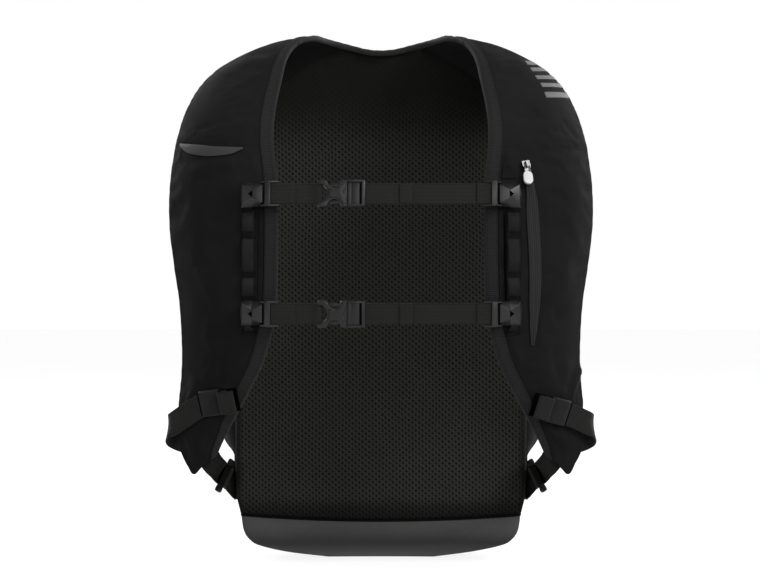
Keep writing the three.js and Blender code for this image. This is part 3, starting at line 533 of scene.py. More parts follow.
class Moulding:
    """A moulded piece, put together from bevelled shells in local millimetres."""

    def __init__(self):
        self.points, self.faces = [], []

    def take(self, bm, bevel, segments=2, edges=None):
        bmesh.ops.recalc_face_normals(bm, faces=bm.faces)
        if edges is None:
            edges = [e for e in bm.edges if len(e.link_faces) == 2 and e.calc_face_angle(0) > 0.3]
        if bevel:
            bmesh.ops.bevel(
                bm, geom=edges, offset=bevel, offset_type="OFFSET", segments=segments, profile=0.6,
                affect="EDGES", clamp_overlap=True,
            )
        bm.verts.index_update()
        start = len(self.points)
        self.points += [tuple(v.co) for v in bm.verts]
        self.faces += [[start + v.index for v in f.verts] for f in bm.faces]
        bm.free()

    def hull(self, corners, bevel=0.5):
        bm = bmesh.new()
        made = bmesh.ops.convex_hull(bm, input=[bm.verts.new(c) for c in corners])
        spare = [g for g in made["geom_interior"] if isinstance(g, bmesh.types.BMVert)]
        bmesh.ops.delete(bm, geom=spare, context="VERTS")
        bmesh.ops.dissolve_limit(bm, angle_limit=0.02, verts=bm.verts, edges=bm.edges)
        self.take(bm, bevel)

    def box(self, low, high, bevel=0.5):
        self.hull(list(product(*zip(low, high))), bevel)

    def prism(self, outline, low, high, bevel=0.5, segments=2):
        """An outline in x and z, thickened along y."""
        bm = bmesh.new()
        rings = [[bm.verts.new((x, y, z)) for x, z in outline] for y in (low, high)]
        bm.faces.new(rings[0])
        bm.faces.new(rings[1][::-1])
        self.walls(bm, *rings)
        self.take(bm, bevel, segments)

    @staticmethod
    def walls(bm, first, second):
        """The faces between two rings of points."""
        for k in range(len(first)):
            j = (k + 1) % len(first)
            bm.faces.new([first[k], first[j], second[j], second[k]])

    def piece(self, name, place, look, replaces=(), body="pack", flip=False, sharp=35):
        faces = [f[::-1] for f in self.faces] if flip else self.faces
        make(name, (place(np.array(self.points)), faces), look, replaces, body, sharp)


# Materials
def tone(value, warm=0.0):
    """Linear colour of a grey of 0 to 255, with a little less blue where it is warm."""
    def linear(c):
        c = max(0.0, c) / 255
        return c / 12.92 if c <= 0.04045 else ((c + 0.055) / 1.055) ** 2.4
    return (linear(value), linear(value), linear(value - warm), 1.0)


class Look:
    """A material's nodes."""

    def __init__(self, name, **sockets):
        self.material = bpy.data.materials.new(name)
        self.material.use_nodes = True
        self.tree = self.material.node_tree
        self.shader = self.tree.nodes["Principled BSDF"]
        for key, value in sockets.items():
            self.put(self.shader.inputs[key.replace("_", " ")], value)
        coordinates = self.tree.nodes.new("ShaderNodeTexCoord").outputs
        self.flat, self.solid = coordinates["UV"], coordinates["Object"]
        self.normal = None

    def put(self, socket, value):
        if isinstance(value, bpy.types.NodeSocket):
            self.tree.links.new(value, socket)
        else:
            socket.default_value = value

    def node(self, kind, inputs, **settings):
        """A new node of a kind, with its inputs by name or number; its outputs."""
        node = self.tree.nodes.new("ShaderNode" + kind)
        for key, value in settings.items():
            setattr(node, key, value)
        for key, value in inputs.items():
            self.put(node.inputs[key], value)
        return node.outputs

    def math(self, operation, *values):
        return self.node("Math", dict(enumerate(values)), operation=operation)[0]

    def vector(self, operation, *values):
        outputs = self.node("VectorMath", dict(enumerate(values)), operation=operation)
        return outputs["Value" if operation == "LENGTH" else "Vector"]

    def ramp(self, value, low, high, ease="SMOOTHSTEP"):
        """From 0 to 1 as a value goes from low to high."""
        inputs = {"Value": value, "From Min": low, "From Max": high}
        return self.node("MapRange", inputs, interpolation_type=ease)[0]

    def cloth(self, wobble=0.0):
        """Places on the cloth in millimetres: across, along, and both as one vector."""
        place = self.node("VectorMath", {0: self.flat, "Scale": 1 / MM}, operation="SCALE")[0]
        if wobble:
            noise = self.node("TexNoise", {"Vector": self.solid, "Scale": 28.0})["Color"]
            shift = self.vector("SUBTRACT", noise, (0.5, 0.5, 0.5))
            place = self.vector("ADD", place, self.vector("MULTIPLY", shift, (wobble, wobble, 0)))
        split = self.node("SeparateXYZ", {0: place})
        return split[0], split[1], place

    def noise(self, scale, detail=3.0, rough=0.55, stretch=None):
        where = self.solid if stretch is None else self.vector("MULTIPLY", self.solid, stretch)
        inputs = {"Vector": where, "Scale": scale, "Detail": detail, "Roughness": rough}
        return self.node("TexNoise", inputs)[0]

    def height(self, low, high):
        """From 0 to 1 between two heights in metres."""
        return self.ramp(self.node("SeparateXYZ", {0: self.solid})[2], low, high)

    def wave(self, place, period, shift=0.0):
        """From 0 to 1 and back over each period of a place in millimetres."""
        turn = self.math("MULTIPLY_ADD", place, 2 * math.pi / period, shift)
        return self.math("MULTIPLY_ADD", self.math("SINE", turn), 0.5, 0.5)

    def weave(self, u, v, across, along):
        return self.math("MULTIPLY", self.wave(u, across), self.wave(v, along))

    def sum(self, first, *terms):
        """A weighted sum: pairs of a socket and its weight."""
        total = self.math("MULTIPLY", *first)
        for socket, weight in terms:
            total = self.math("MULTIPLY_ADD", socket, weight, total)
        return total

    def colours(self, factor, *stops):
        node = self.tree.nodes.new("ShaderNodeValToRGB")
        elements = node.color_ramp.elements
        while len(elements) < len(stops):
            elements.new(0.5)
        for element, (where, colour) in zip(elements, stops):
            element.position = where
            element.color = colour
        self.put(node.inputs[0], factor)
        self.put(self.shader.inputs["Base Color"], node.outputs[0])

    def rough(self, factor, low, high):
        inputs = {"Value": factor, "To Min": low, "To Max": high}
        self.put(self.shader.inputs["Roughness"], self.node("MapRange", inputs)[0])

    def bump(self, height, distance):
        """Relief of a height from 0 to 1, that deep in millimetres."""
        inputs = {"Strength": 1.0, "Distance": distance * MM, "Height": height}
        if self.normal is not None:
            inputs["Normal"] = self.normal
        self.normal = self.node("Bump", inputs)[0]
        self.put(self.shader.inputs["Normal"], self.normal)


def cloth_look(name, spec, sheen, sheen_rough, tint):
    return Look(
        name, Specular_IOR_Level=spec, Sheen_Weight=sheen, Sheen_Roughness=sheen_rough, Sheen_Tint=tint,
    )


def woven_look(name, dark, light, period=0.9, deep=0.12, spec=0.12, sheen=0.12):
    """Plain fine cloth: a woven grain, cloudy shade and rubbed places."""
    look = cloth_look(name, spec, sheen, 0.5, tone(120))
    u, v, _ = look.cloth(1.2)
    weave = look.weave(u, v, period, period)
    slub = look.noise(160.0, 2.0, 0.6, (1.0, 1.0, 0.18))
    cloud = look.noise(17.0, 4.0, 0.6)
    grain = look.noise(1500.0, 1.0)
    shade = look.sum((cloud, 0.5), (slub, 0.2), (weave, 0.18), (grain, 0.12))
    look.colours(shade, (0.28, tone(dark)), (0.72, tone(light)))
    look.rough(cloud, 0.72, 0.95)
    look.bump(weave, deep)
    look.bump(look.noise(90.0, 3.0), 0.18)
    return look.material


def mesh_look():
    """Spacer mesh: staggered rows of small holes in a knitted face, plain and darker at its side borders,
    with painted shade that darkens it and hides its holes toward the top, and a painted shadow along its
    foot.
    """
    wide, tall = 6.9, 5.6  # two holes in each such cell
    look = cloth_look("air_mesh", 0.1, 0.1, 0.5, tone(120, 2))
    u, v, place = look.cloth(2.6)

    def hole(shift):
        """Distance from the middle of the nearest hole."""
        moved = look.vector("ADD", look.vector("DIVIDE", place, (wide, tall, 1.0)), (shift, shift, 0))
        near = look.vector("SUBTRACT", look.vector("FRACTION", moved), (0.5, 0.5, 0))
        return look.vector("LENGTH", look.vector("MULTIPLY", near, (wide, tall, 0)))

    gap = look.math("MINIMUM", hole(0.25), hole(0.75))
    solid = look.ramp(look.sum((gap, 1.0), (look.noise(230.0, 2.0), 0.9)), 0.95, 2.0)
    # Painted shade: toward the top, under the neck and straps, the mesh darkens and its holes fade out
    top = look.height(-0.115, -0.04)
    # Painted shadow: a dark line along the foot, above the base seam
    foot = look.height(-0.462, -0.486)
    border = look.ramp(look.math("ABSOLUTE", u), 141.0, 148.5)
    border_and_painted_shade = look.math("MAXIMUM", look.math("MULTIPLY", top, 0.9), look.math("MULTIPLY", border, 0.8))
    slant = look.sum((v, 1 / tall), (u, 1 / wide))
    quarter = math.pi / 2  # sets the waves' dips on the holes
    face, twill, columns = (
        look.math("MAXIMUM", pattern, border_and_painted_shade)
        for pattern in (solid, look.wave(slant, 1.0, quarter), look.wave(u, wide / 2, quarter))
    )
    knit = look.weave(u, v, 1.15, 0.95)
    cloud = look.noise(11.0, 4.0, 0.6)
    shade = look.sum(
        (face, 0.45), (knit, 0.1), (twill, 0.11), (columns, 0.12), (cloud, 0.3),
        (top, -0.52), (border, -0.37), (foot, -0.45),
    )
    look.colours(shade, (0.1, tone(7, 0.6)), (0.5, tone(30, 1.9)), (0.85, tone(50, 2.4)))
    look.rough(cloud, 0.8, 0.98)
    look.bump(face, 0.75)
    look.bump(knit, 0.12)
    return look.material


def webbing_look(name, dark, light, line=1.3, warm=1.5, half=10.0, spec=0.22, sheen=0.12):
    """Woven webbing: lengthwise ribs with fine slanting threads, and painted shade darkening its two edges.
    """
    look = cloth_look(name, spec, sheen, 0.4, tone(130))
    u, v, _ = look.cloth()
    rib = look.wave(u, line)
    thread = look.math("MULTIPLY", rib, look.wave(look.math("MULTIPLY_ADD", u, 1.6, v), 1.0))
    worn = look.noise(70.0, 4.0, 0.65)
    # Painted shade: the two edges darken, standing in for the shadow lines along the webbing
    edge = look.ramp(look.math("ABSOLUTE", u), half - 1.7, half + 0.2, "LINEAR")
    shade = look.sum((rib, 0.3), (thread, 0.26), (worn, 0.44), (edge, -0.4))
    stops = (0.1, dark * 0.6), (0.3, dark), (0.75, light)
    look.colours(shade, *((where, tone(value, warm)) for where, value in stops))
    look.rough(worn, 0.6, 0.85)
    look.bump(rib, 0.22)
    look.bump(thread, 0.14)
    return look.material


def grosgrain_look(name, dark, light, rib=1.7, top=None):
    """Tape with ribs across it, which may darken between two heights with painted shade."""
    look = cloth_look(name, 0.2, 0.15, 0.45, tone(130))
    u, v, _ = look.cloth()
    ribs, fine = look.wave(v, rib), look.wave(u, 0.8)
    worn = look.noise(45.0, 4.0, 0.6)
    terms = [(ribs, 0.34), (fine, 0.1), (worn, 0.56)]
    first = (0.25, tone(dark))
    # Painted shade: the tape darkens between the two heights
    if top is not None:
        terms.append((look.height(*top), -0.4))
        first = (0.05, tone(dark * 0.7))
    look.colours(look.sum(*terms), first, (0.75, tone(light)))
    look.rough(worn, 0.62, 0.9)
    look.bump(ribs, 0.3)
    look.bump(fine, 0.08)
    return look.material


def coated_look(name, dark, light, warm=0.0, spec=0.3, grain=260.0, foot=None):
    """Coated cloth with a fine grain, cloudy shade and faint scuffs, which may darken to its foot with
    painted shade.
    """
    look = Look(name, Specular_IOR_Level=spec)
    u, v, _ = look.cloth(1.0)
    weave = look.weave(u, v, 1.1, 1.1)
    cloud = look.noise(11.0, 4.0, 0.6)
    fine = look.noise(grain, 3.0, 0.6)
    scuff = look.noise(45.0, 5.0, 0.7, (1.0, 1.0, 4.0))
    terms = [(cloud, 0.52), (fine, 0.18), (scuff, 0.18), (weave, 0.12)]
    first = (0.25, tone(dark, warm))
    # Painted shade: the cloth darkens toward its foot
    if foot is not None:
        terms.append((look.height(*foot), -0.7))
        first = (0.0, tone(dark * 0.8, warm))
    look.colours(look.sum(*terms), first, (0.75, tone(light, warm)))
    look.rough(scuff, 0.5, 0.75)
    look.bump(weave, 0.06)
    look.bump(fine, 0.1)
    return look.material


def plastic_look(name, dark, light, warm=0.0, spec=0.45, rough=(0.42, 0.6)):
    """Moulded plastic: a fine spark-eroded grain and paler rubbed edges."""
    look = Look(name, Specular_IOR_Level=spec)
    fine = look.noise(2200.0, 2.0)
    cloud = look.noise(60.0, 3.0)
    edge = look.ramp(look.node("NewGeometry", {})["Pointiness"], 0.5, 0.6, "LINEAR")
    shade = look.sum((cloud, 0.45), (fine, 0.2), (edge, 0.35))
    look.colours(shade, (0.2, tone(dark, warm)), (0.8, tone(light, warm)))
    look.rough(cloud, *rough)
    look.bump(fine, 0.05)
    return look.material


def metal_look(name, dark, light):
    """Cast metal with a brushed, slightly worn plating."""
    look = Look(name, Metallic=1.0)
    brush = look.noise(700.0, 3.0, 0.6, (1.0, 1.0, 0.12))
    cloud = look.noise(150.0, 3.0)
    look.colours(look.sum((brush, 0.5), (cloud, 0.5)), (0.25, tone(dark)), (0.75, tone(light)))
    look.rough(brush, 0.22, 0.42)
    look.bump(brush, 0.03)
    return look.material


def thread_look(name, dark, light, spec=0.25, sheen=0.2):
    """Twisted sewing thread."""
    look = Look(name, Specular_IOR_Level=spec, Sheen_Weight=sheen)
    twist = look.noise(1800.0, 2.0)
    worn = look.noise(120.0, 2.0)
    look.colours(look.sum((twist, 0.5), (worn, 0.5)), (0.25, tone(dark)), (0.75, tone(light)))
    look.rough(worn, 0.6, 0.85)
    look.bump(twist, 0.08)
    return look.material


SHELL = woven_look("panel_cloth", 19, 31, spec=0.06, sheen=0.03)
BAG_CLOTH = woven_look("bag_cloth", 16, 28, period=1.3, deep=0.16, spec=0.08, sheen=0.05)
# Gusset cloth, a little darker than the panel with painted shade of its recess
SHADED_GUSSET = woven_look("shaded_gusset_cloth", 19, 28, spec=0.05, sheen=0.02)
# Dark seam cloth, also used as painted shadow along the base seam
SEAM_AND_SHADOW = woven_look("seam_and_shadow_cloth", 8, 14, spec=0.05, sheen=0.0)
# Near-black cloth for strips that stand in for shadow: painted shadow
SHADOW_CLOTH = woven_look("painted_shadow_cloth", 2, 6, spec=0.02, sheen=0.0)
MESH = mesh_look()
# The base takes painted shade toward its foot
BASE = coated_look("coated_base", 72, 88, -0.6, spec=0.1, foot=(-0.494, -0.524))
STRIPE = coated_look("printed_bars", 92, 108, -0.5, grain=900.0)
TAB = coated_look("tab_cloth", 46, 60, grain=700.0)
# The binding takes painted shade over its top, near the neck
BINDING = grosgrain_look("binding_tape", 14, 29, top=(-0.1, -0.02))
PIPING = grosgrain_look("neck_roll", 30, 44, rib=1.2)
ELASTIC = grosgrain_look("keeper_elastic", 14, 26, rib=1.1)
WEB = webbing_look("webbing", 15, 31)
WIDE_WEB = webbing_look("wide_webbing", 11, 25, half=11.0)
LOWER_WEB = webbing_look("lower_webbing", 13, 25, half=11.0, spec=0.02, sheen=0.0)
CHAIN = webbing_look("narrow_webbing", 27, 52, line=1.1, warm=0.5, half=6.2, spec=0.06, sheen=0.0)
ZIP = webbing_look("zip_tape", 24, 41, line=2.2, warm=0.0, half=6.6)
PLASTIC = plastic_look("moulded_plastic", 10, 19, spec=0.38, rough=(0.28, 0.4))
BUCKLE = plastic_look("buckle_plastic", 9, 17, spec=0.31, rough=(0.3, 0.42))
LOCK = plastic_look("lock_plastic", 7, 14, spec=0.15, rough=(0.5, 0.65))
# Near-black plastic for the floor of a clip's hollow: painted shade
HOLLOW_SHADE = plastic_look("hollow_shade_plastic", 2, 6, spec=0.05, rough=(0.8, 0.95))
TEETH = plastic_look("zip_coil", 26, 44)
PULL = plastic_look("pull_plastic", 194, 224, 1.0, spec=0.5, rough=(0.3, 0.45))
METAL = metal_look("slider_metal", 60, 120)
THREAD = thread_look("thread", 18, 36)
# Near-black bar-tack thread, its dark tone also painted shade between the webbing's loops
TACK_AND_SHADE = thread_look("tack_and_shade_thread", 4, 12, spec=0.08, sheen=0.0)
SEAM_THREAD = thread_look("seam_thread", 10, 18, spec=0.1, sheen=0.03)


# Stage, light and camera
LIGHTS = (
    # name, place and size in metres, and power in watts
    ("key", (2.3, -2.1, 1.7), 1.6, 70.0),
    ("front", (0.7, -3.3, 0.8), 1.6, 24.0),
    ("fill", (-2.5, -2.0, 0.6), 2.2, 8.0),
    ("top", (0.3, -0.6, 2.9), 1.8, 26.0),
    ("rear_left", (-2.4, 2.9, 1.5), 2.0, 90.0),
    ("rear_right", (2.6, 2.7, 1.1), 2.0, 70.0),
)
WHITE = (1.0, 1.0, 1.0, 1.0)
WORLD_STRENGTH = 0.36
AIM = vec(0, 0, -0.25)


def staged(name, shape, glow, spec, rough, scale, detail, dark, light, **size):
    """A glowing pale surface round the object, which isn't part of it."""
    mesh = bpy.data.meshes.new(name)
    bm = bmesh.new()
    shape(bm, **size)
    bm.to_mesh(mesh)
    bm.free()
    look = Look(
        name, Specular_IOR_Level=spec, Roughness=rough, Emission_Color=WHITE, Emission_Strength=glow,
    )
    look.colours(look.noise(scale, detail), (0.3, (dark, dark, dark, 1)), (0.7, (light, light, light, 1)))
    mesh.materials.append(look.material)
    obj = link(bpy.data.objects.new(name, mesh))
    obj.visible_diffuse = False
    return obj


def stage():
    data = bpy.data.cameras.new("photo_camera")
    data.lens = FOCAL
    data.sensor_width = 36
    data.clip_end = 100
    camera = link(bpy.data.objects.new("photo_camera", data))
    camera.location = [c * MM for c in CAMERA]
    camera.rotation_euler = (math.pi / 2, 0, 0)
    SCENE.camera = camera
    SCENE.view_settings.view_transform = "Standard"

    world = bpy.data.worlds.new("studio")
    world.use_nodes = True
    background = world.node_tree.nodes["Background"]
    background.inputs["Color"].default_value = WHITE
    background.inputs["Strength"].default_value = WORLD_STRENGTH
    SCENE.world = world

    ball = bmesh.ops.create_icosphere
    backdrop = staged("backdrop", ball, 1.0, 0.0, 1.0, 0.5, 1.0, 0.02, 0.03, subdivisions=4, radius=16.0)
    backdrop.visible_glossy = False
    backdrop.visible_shadow = False
    backdrop.visible_transmission = False
    backdrop.visible_volume_scatter = False
    disc = bmesh.ops.create_circle
    size = {"cap_ends": True, "segments": 96, "radius": 14.0}
    floor = staged("floor", disc, 0.87, 0.1, 0.9, 3.0, 2.0, 0.24, 0.28, **size)
    floor.location = (0, 0, BASE_FOOT * MM - 0.0006)

    for name, place, size, power in LIGHTS:
        light = bpy.data.lights.new(name, "AREA")
        light.shape = "DISK"
        light.size = size
        light.energy = power
        lamp = link(bpy.data.objects.new(name, light))
        lamp.location = place
        x, y, z = unit(AIM - vec(*place))
        lamp.rotation_euler = (math.acos(-z), 0, math.atan2(y, x) - math.pi / 2)


stage()


# Cloth simulation
def drape(points, pins, grow, pressure, stiffness, frames=18):
    """The shape of a sheet that is held where it is pinned, cut a little too large and blown out."""
    rows, columns = points.shape[:2]
    mesh = bpy.data.meshes.new("drape")
    faces = quads_of(np.arange(rows * columns).reshape(rows, columns))
    mesh.from_pydata((points.reshape(-1, 3) * MM).tolist(), [], faces.tolist())
    obj = link(bpy.data.objects.new("drape", mesh))
    group = obj.vertex_groups.new(name="pins")
    weights = pins.ravel()
    for k in np.nonzero(weights > 0.01)[0]:
        group.add([int(k)], float(weights[k]), "REPLACE")
    cloth = obj.modifiers.new("cloth", "CLOTH")
    settings = {
        "quality": 7,
        "mass": 0.12,
        "tension_stiffness": 20,
        "compression_stiffness": 20,
        "shear_stiffness": 6,
        "bending_stiffness": stiffness,
        "tension_damping": 8,
        "compression_damping": 8,
        "shear_damping": 8,
        "air_damping": 2,
        "vertex_group_mass": "pins",
        "pin_stiffness": 1.0,
        "shrink_min": -grow,
        "use_pressure": True,
        "uniform_pressure_force": pressure,
    }
    for key, value in settings.items():
        setattr(cloth.settings, key, value)
    cloth.settings.effector_weights.gravity = 0
    cloth.collision_settings.use_collision = False
    cloth.point_cache.frame_start = 1
    cloth.point_cache.frame_end = frames
    for f in range(1, frames + 1):
        SCENE.frame_set(f)
    made = obj.evaluated_get(bpy.context.evaluated_depsgraph_get()).data
    co = np.zeros(len(made.vertices) * 3, np.float32)
    made.vertices.foreach_get("co", co)
    SCENE.frame_set(1)
    bpy.data.objects.remove(obj)
    bpy.data.meshes.remove(mesh)
    return co.reshape(rows, columns, 3).astype(float) / MM


def settle(rest, normals, moved, low, high, slide=2.5):
    """How far each point has moved, held between two heights over its rest and a most that it slides."""
    shift = moved - rest
    rise = (shift * normals).sum(-1)
    flat = shift - normals * rise[..., None]
    size = np.linalg.norm(flat, axis=-1, keepdims=True)
    flat = flat * np.minimum(1, slide / np.maximum(size, 1e-9))
    held = np.where(rise > 0, high * np.tanh(rise / high), low * np.tanh(rise / low))
    return normals * held[..., None] + flat


def ripple(p, seed, size):
    """Soft wrinkles from a few crossed waves."""
    rng = np.random.default_rng(seed)
    total = np.zeros(p.shape[:-1])
    for _ in range(7):
        way = rng.normal(size=3)
        way /= np.linalg.norm(way)
        total += np.sin(p @ way * 2 * math.pi / rng.uniform(0.6, 1.7) / size + rng.uniform(0, 6.3))
    return total / 7


def wrinkled(rest, normals, pins, seed, size, height):
    """A sheet with soft wrinkles where it isn't pinned."""
    return rest + normals * (ripple(rest, seed, size) * height * (1 - pins))[..., None]


# Harness panels
SIM_S, SIM_V = 41, 131


class Panel:
    """One harness panel, with the shape of its outer cloth."""

    def __init__(self, side, seed):
        self.side, self.mirror = side, vec(SIDES[side], 1, 1)
        s, v = np.meshgrid(np.linspace(0, 1, SIM_S), np.linspace(0, 1, SIM_V))
        rest, normals = harness(s, v), harness_normal(s, v)
        front = v > PANEL_FRONT
        pins = self.pins(s, v, rest[..., 0], rest[..., 2], front)
        outer = rest + normals * FACE
        start = wrinkled(outer, normals, pins, seed, 45, 0.25) * self.mirror
        moved = drape(start, pins, 0.012, 0.6 * -SIDES[side], 0.25) * self.mirror
        self.move = settle(outer, normals, moved, -1.0, 1.9)
        fold = folds(rest[..., 0], rest[..., 2], FOLDS[side], 0.15) * (front & (v < 0.995))
        self.fold = (fold * (1 - pins * 0.6))[..., None]

    def pins(self, s, v, x, z, front):
        """1 where the outer cloth is sewn down, and 0 where it is free."""
        pins = np.zeros_like(s)
        pins[[0, -1]] = 1
        pins[:, [0, -1]] = 1
        wide = chord(v[:, :1], 0.0, 1.0)
        pins[(s * wide < 15) & (v > RIDGE)] = 1
        pins[front & (np.abs(x - CHAIN_X) < 7.5) & (z < -136) & (z > -295)] = 1
        if self.side == "right":
            near = np.min([to_line(x, z, *a, *b)[0] for a, b in zip(ZIP_LINE, ZIP_LINE[1:])], axis=0)
            pins[front & (near < 6)] = 1
        else:
            pins[front & (x > 130) & (x < 193) & (z < -109) & (z > -127)] = 1
        distance, _ = to_line(x, z, *POCKET_SEAM[self.side])
        pins[front & (distance < 3.2)] = 1
        return pins

    def at(self, s, v, height):
        """Points at a height over the panel's middle surface, on its folds."""
        s, v = np.broadcast_arrays(np.asarray(s, float), np.asarray(v, float))
        raised = np.asarray(height)[..., None] + sample(self.fold, s, v)
        return (harness(s, v) + harness_normal(s, v) * raised + sample(self.move, s, v)) * self.mirror

    def normal(self, s, v):
        return harness_normal(s, v) * self.mirror

    def lay(self, s, v, over):
        """Points that far over the panel's face, and its normals there."""
        return self.at(s, v, FACE + over), self.normal(s, v)

    @staticmethod
    def rounded(s, v, wide):
        """The places with the panel's lower outer corner made round."""
        radius = 6.0
        p = np.clip(radius - (1 - s) * wide, 0, None)
        q = np.clip(radius - (1 - v) * PANEL_FRONT_LONG, 0, None)
        inside = (p > 0) & (q > 0)
        k = np.where(inside, np.maximum(p, q) / np.maximum(np.hypot(p, q), 1e-9), 1.0)
        round_s, round_v = 1 - (radius - p * k) / wide, 1 - (radius - q * k) / PANEL_FRONT_LONG
        return np.where(inside, round_s, s), np.where(inside, round_v, v)

    def build(self):
        rows, shares = rim_samples(1.0, FACE / PANEL_LONG, 190)
        wide = chord(rows, 0.0, 0.5) + chord(rows, 0.5, 1.0)
        across = np.array([rim_samples(1.0, FACE / w, 52) for w in wide])
        s, edge = across[:, 0], across[:, 1]
        s, v = self.rounded(s, np.broadcast_to(rows[:, None], s.shape), wide[:, None])
        share = edge * shares[:, None]
        n = self.normal(s, v)
        base = harness(s, v) * self.mirror
        seam, _ = to_line(base[..., 0] * self.mirror[0], base[..., 2], *POCKET_SEAM[self.side])
        groove = -0.55 * hump(seam, 1.1) * (v > PANEL_FRONT)
        shape = (self.at(s, v, 0.0) - base) * share[..., None]
        front = base + shape + n * (FACE * share + groove * edge)[..., None]
        back = base - n * (FACE * share)[..., None]
        sunk = 5.0 * smooth(1 - v / (0.35 * RIDGE))  # into the yoke seam
        front[..., 1] += sunk
        back[..., 1] += sunk
        uv = grouped(s * wide[:, None], lengths(base[:, s.shape[1] // 2 - 2])[:, None])
        name, nodes = f"harness_{self.side}_padding", [f"harness_panel_{self.side}"]
        obj = make(name, closed_sheet(front, back, uv), SHELL, nodes)


PANELS = {"left": Panel("left", 11), "right": Panel("right", 23)}
for panel in PANELS.values():
    panel.build()


def binding(panel):
    """Ribbed tape folded round a panel's inner edge."""
    half_tape = TAPE / 2
    rows, ends = rim_samples(1.0, half_tape / PANEL_FRONT_LONG, 230)
    v = lerp(1.06 * RIDGE, 1.0, rows)
    wide = chord(v, 0.0, 0.2) / 0.2
    inset = FACE
    fold = FACE + half_tape + 0.04
    arc = math.pi * fold
    reach = BINDING_WIDTH - inset
    total = reach + arc + 8.0
    q, edges = rim_samples(total, half_tape, 34)
    d = reach - q
    turn = np.clip(-d / fold, 0, math.pi)
    taper = lerp(0.45, 0.88, smooth((v - 0.12) / 0.24)) * lerp(1.0, 0.7, smooth((v - 0.82) / 0.12))
    inward = inset + np.where(d > 0, d, np.where(d < -arc, -arc - d, 0.0))[None] * taper[:, None]
    s = inward / wide[:, None]
    grid_v = np.broadcast_to(v[:, None], s.shape)
    edge = unit(harness(0.0, v) - harness(0.02, v))
    cos, sin = np.cos(turn)[None, :, None], np.sin(turn)[None, :, None]
    lift = cos * harness_normal(s, grid_v) + sin * edge[:, None]
    pucker = 0.22 * np.sin(v * PANEL_LONG * 2 * math.pi / 9.0)[:, None] * hump(d[None] - 8, 3.0)
    follow = sample(panel.move, s, grid_v) * cos.clip(0, 1)
    mid = (harness(s, grid_v) + lift * (fold + pucker)[..., None] + follow) * panel.mirror
    proud = lift * panel.mirror * (half_tape * ends[:, None] * edges[None])[..., None]
    uv = grouped(q[None] - total / 2, lengths(mid[:, 4])[:, None])
    name, nodes = f"binding_{panel.side}_tape", [f"harness_binding_{panel.side}"]
    make(name, closed_sheet(mid + proud, mid - proud, uv), BINDING, nodes)
    lines = []
    for share in (0.9, 0.08):
        at = (inset + share * reach * taper) / wide
        path = harness(at, v) + harness_normal(at, v) * (fold + half_tape) + sample(panel.move, at, v)
        lines.append(((path * panel.mirror)[2:-2], panel.normal(at, v)[2:-2]))
    stitches(f"binding_{panel.side}_thread", lines, SEAM_THREAD)


for panel in PANELS.values():
    binding(panel)


# Neck roll behind the neck
NECK_ROLL = 3.0
NECK_ROLL_TIP = 1.9
NECK_ROLL_CLEAR = 4.2
# Places along the panels' inner edges, in ridges, and how far the roll stands clear of them
NECK_ROLL_ENDS = ((1.5, 0.0), (1.35, 0.4), (1.15, 2.4), (0.95, 3.9), (0.8, 4.2), (0.55, 4.2), (0.3, 4.2))


def neck_roll():
    def end(v, clear):
        edge, near = harness(0, v), harness(0.02, v)
        p = edge + unit(edge - near) * clear
        p[2] = lerp(p[2], edge[2] + 0.8, clear / NECK_ROLL_CLEAR)
        return p

    def behind(x):
        z = BACK_TOP - 1.9 + 4.9 * (x / 30) ** 2
        return vec(x, back_face(x, z) - 3.8, z)

    def wobble(along, turn):
        slow = np.sin(along * 2 * math.pi / 11 + 2 * np.sin(turn))
        return 0.12 * slow + 0.08 * np.sin(along * 2 * math.pi / 4.3)

    ends = [end(k * RIDGE, clear) for k, clear in NECK_ROLL_ENDS]
    middle = [behind(x) for x in (-30, -15, 0, 15, 30)]
    path = [p * vec(-1, 1, 1) for p in ends] + middle + ends[::-1]
    path = spline(path, np.linspace(0, 1, 260))
    size = np.full(len(path), NECK_ROLL)
    size[:44] = np.linspace(NECK_ROLL_TIP, NECK_ROLL, 44)
    size[-44:] = np.linspace(NECK_ROLL, NECK_ROLL_TIP, 44)
    tube("neck_roll", path, size, PIPING, ["neck_piping"], sides=18, wobble=wobble)
    along = path[52:-52]
    out = np.broadcast_to(unit(vec(0, -1, 0.2)), along.shape)
    stitches("neck_roll_thread", [(along + out * (NECK_ROLL + 0.05), out)], SEAM_THREAD)


neck_roll()


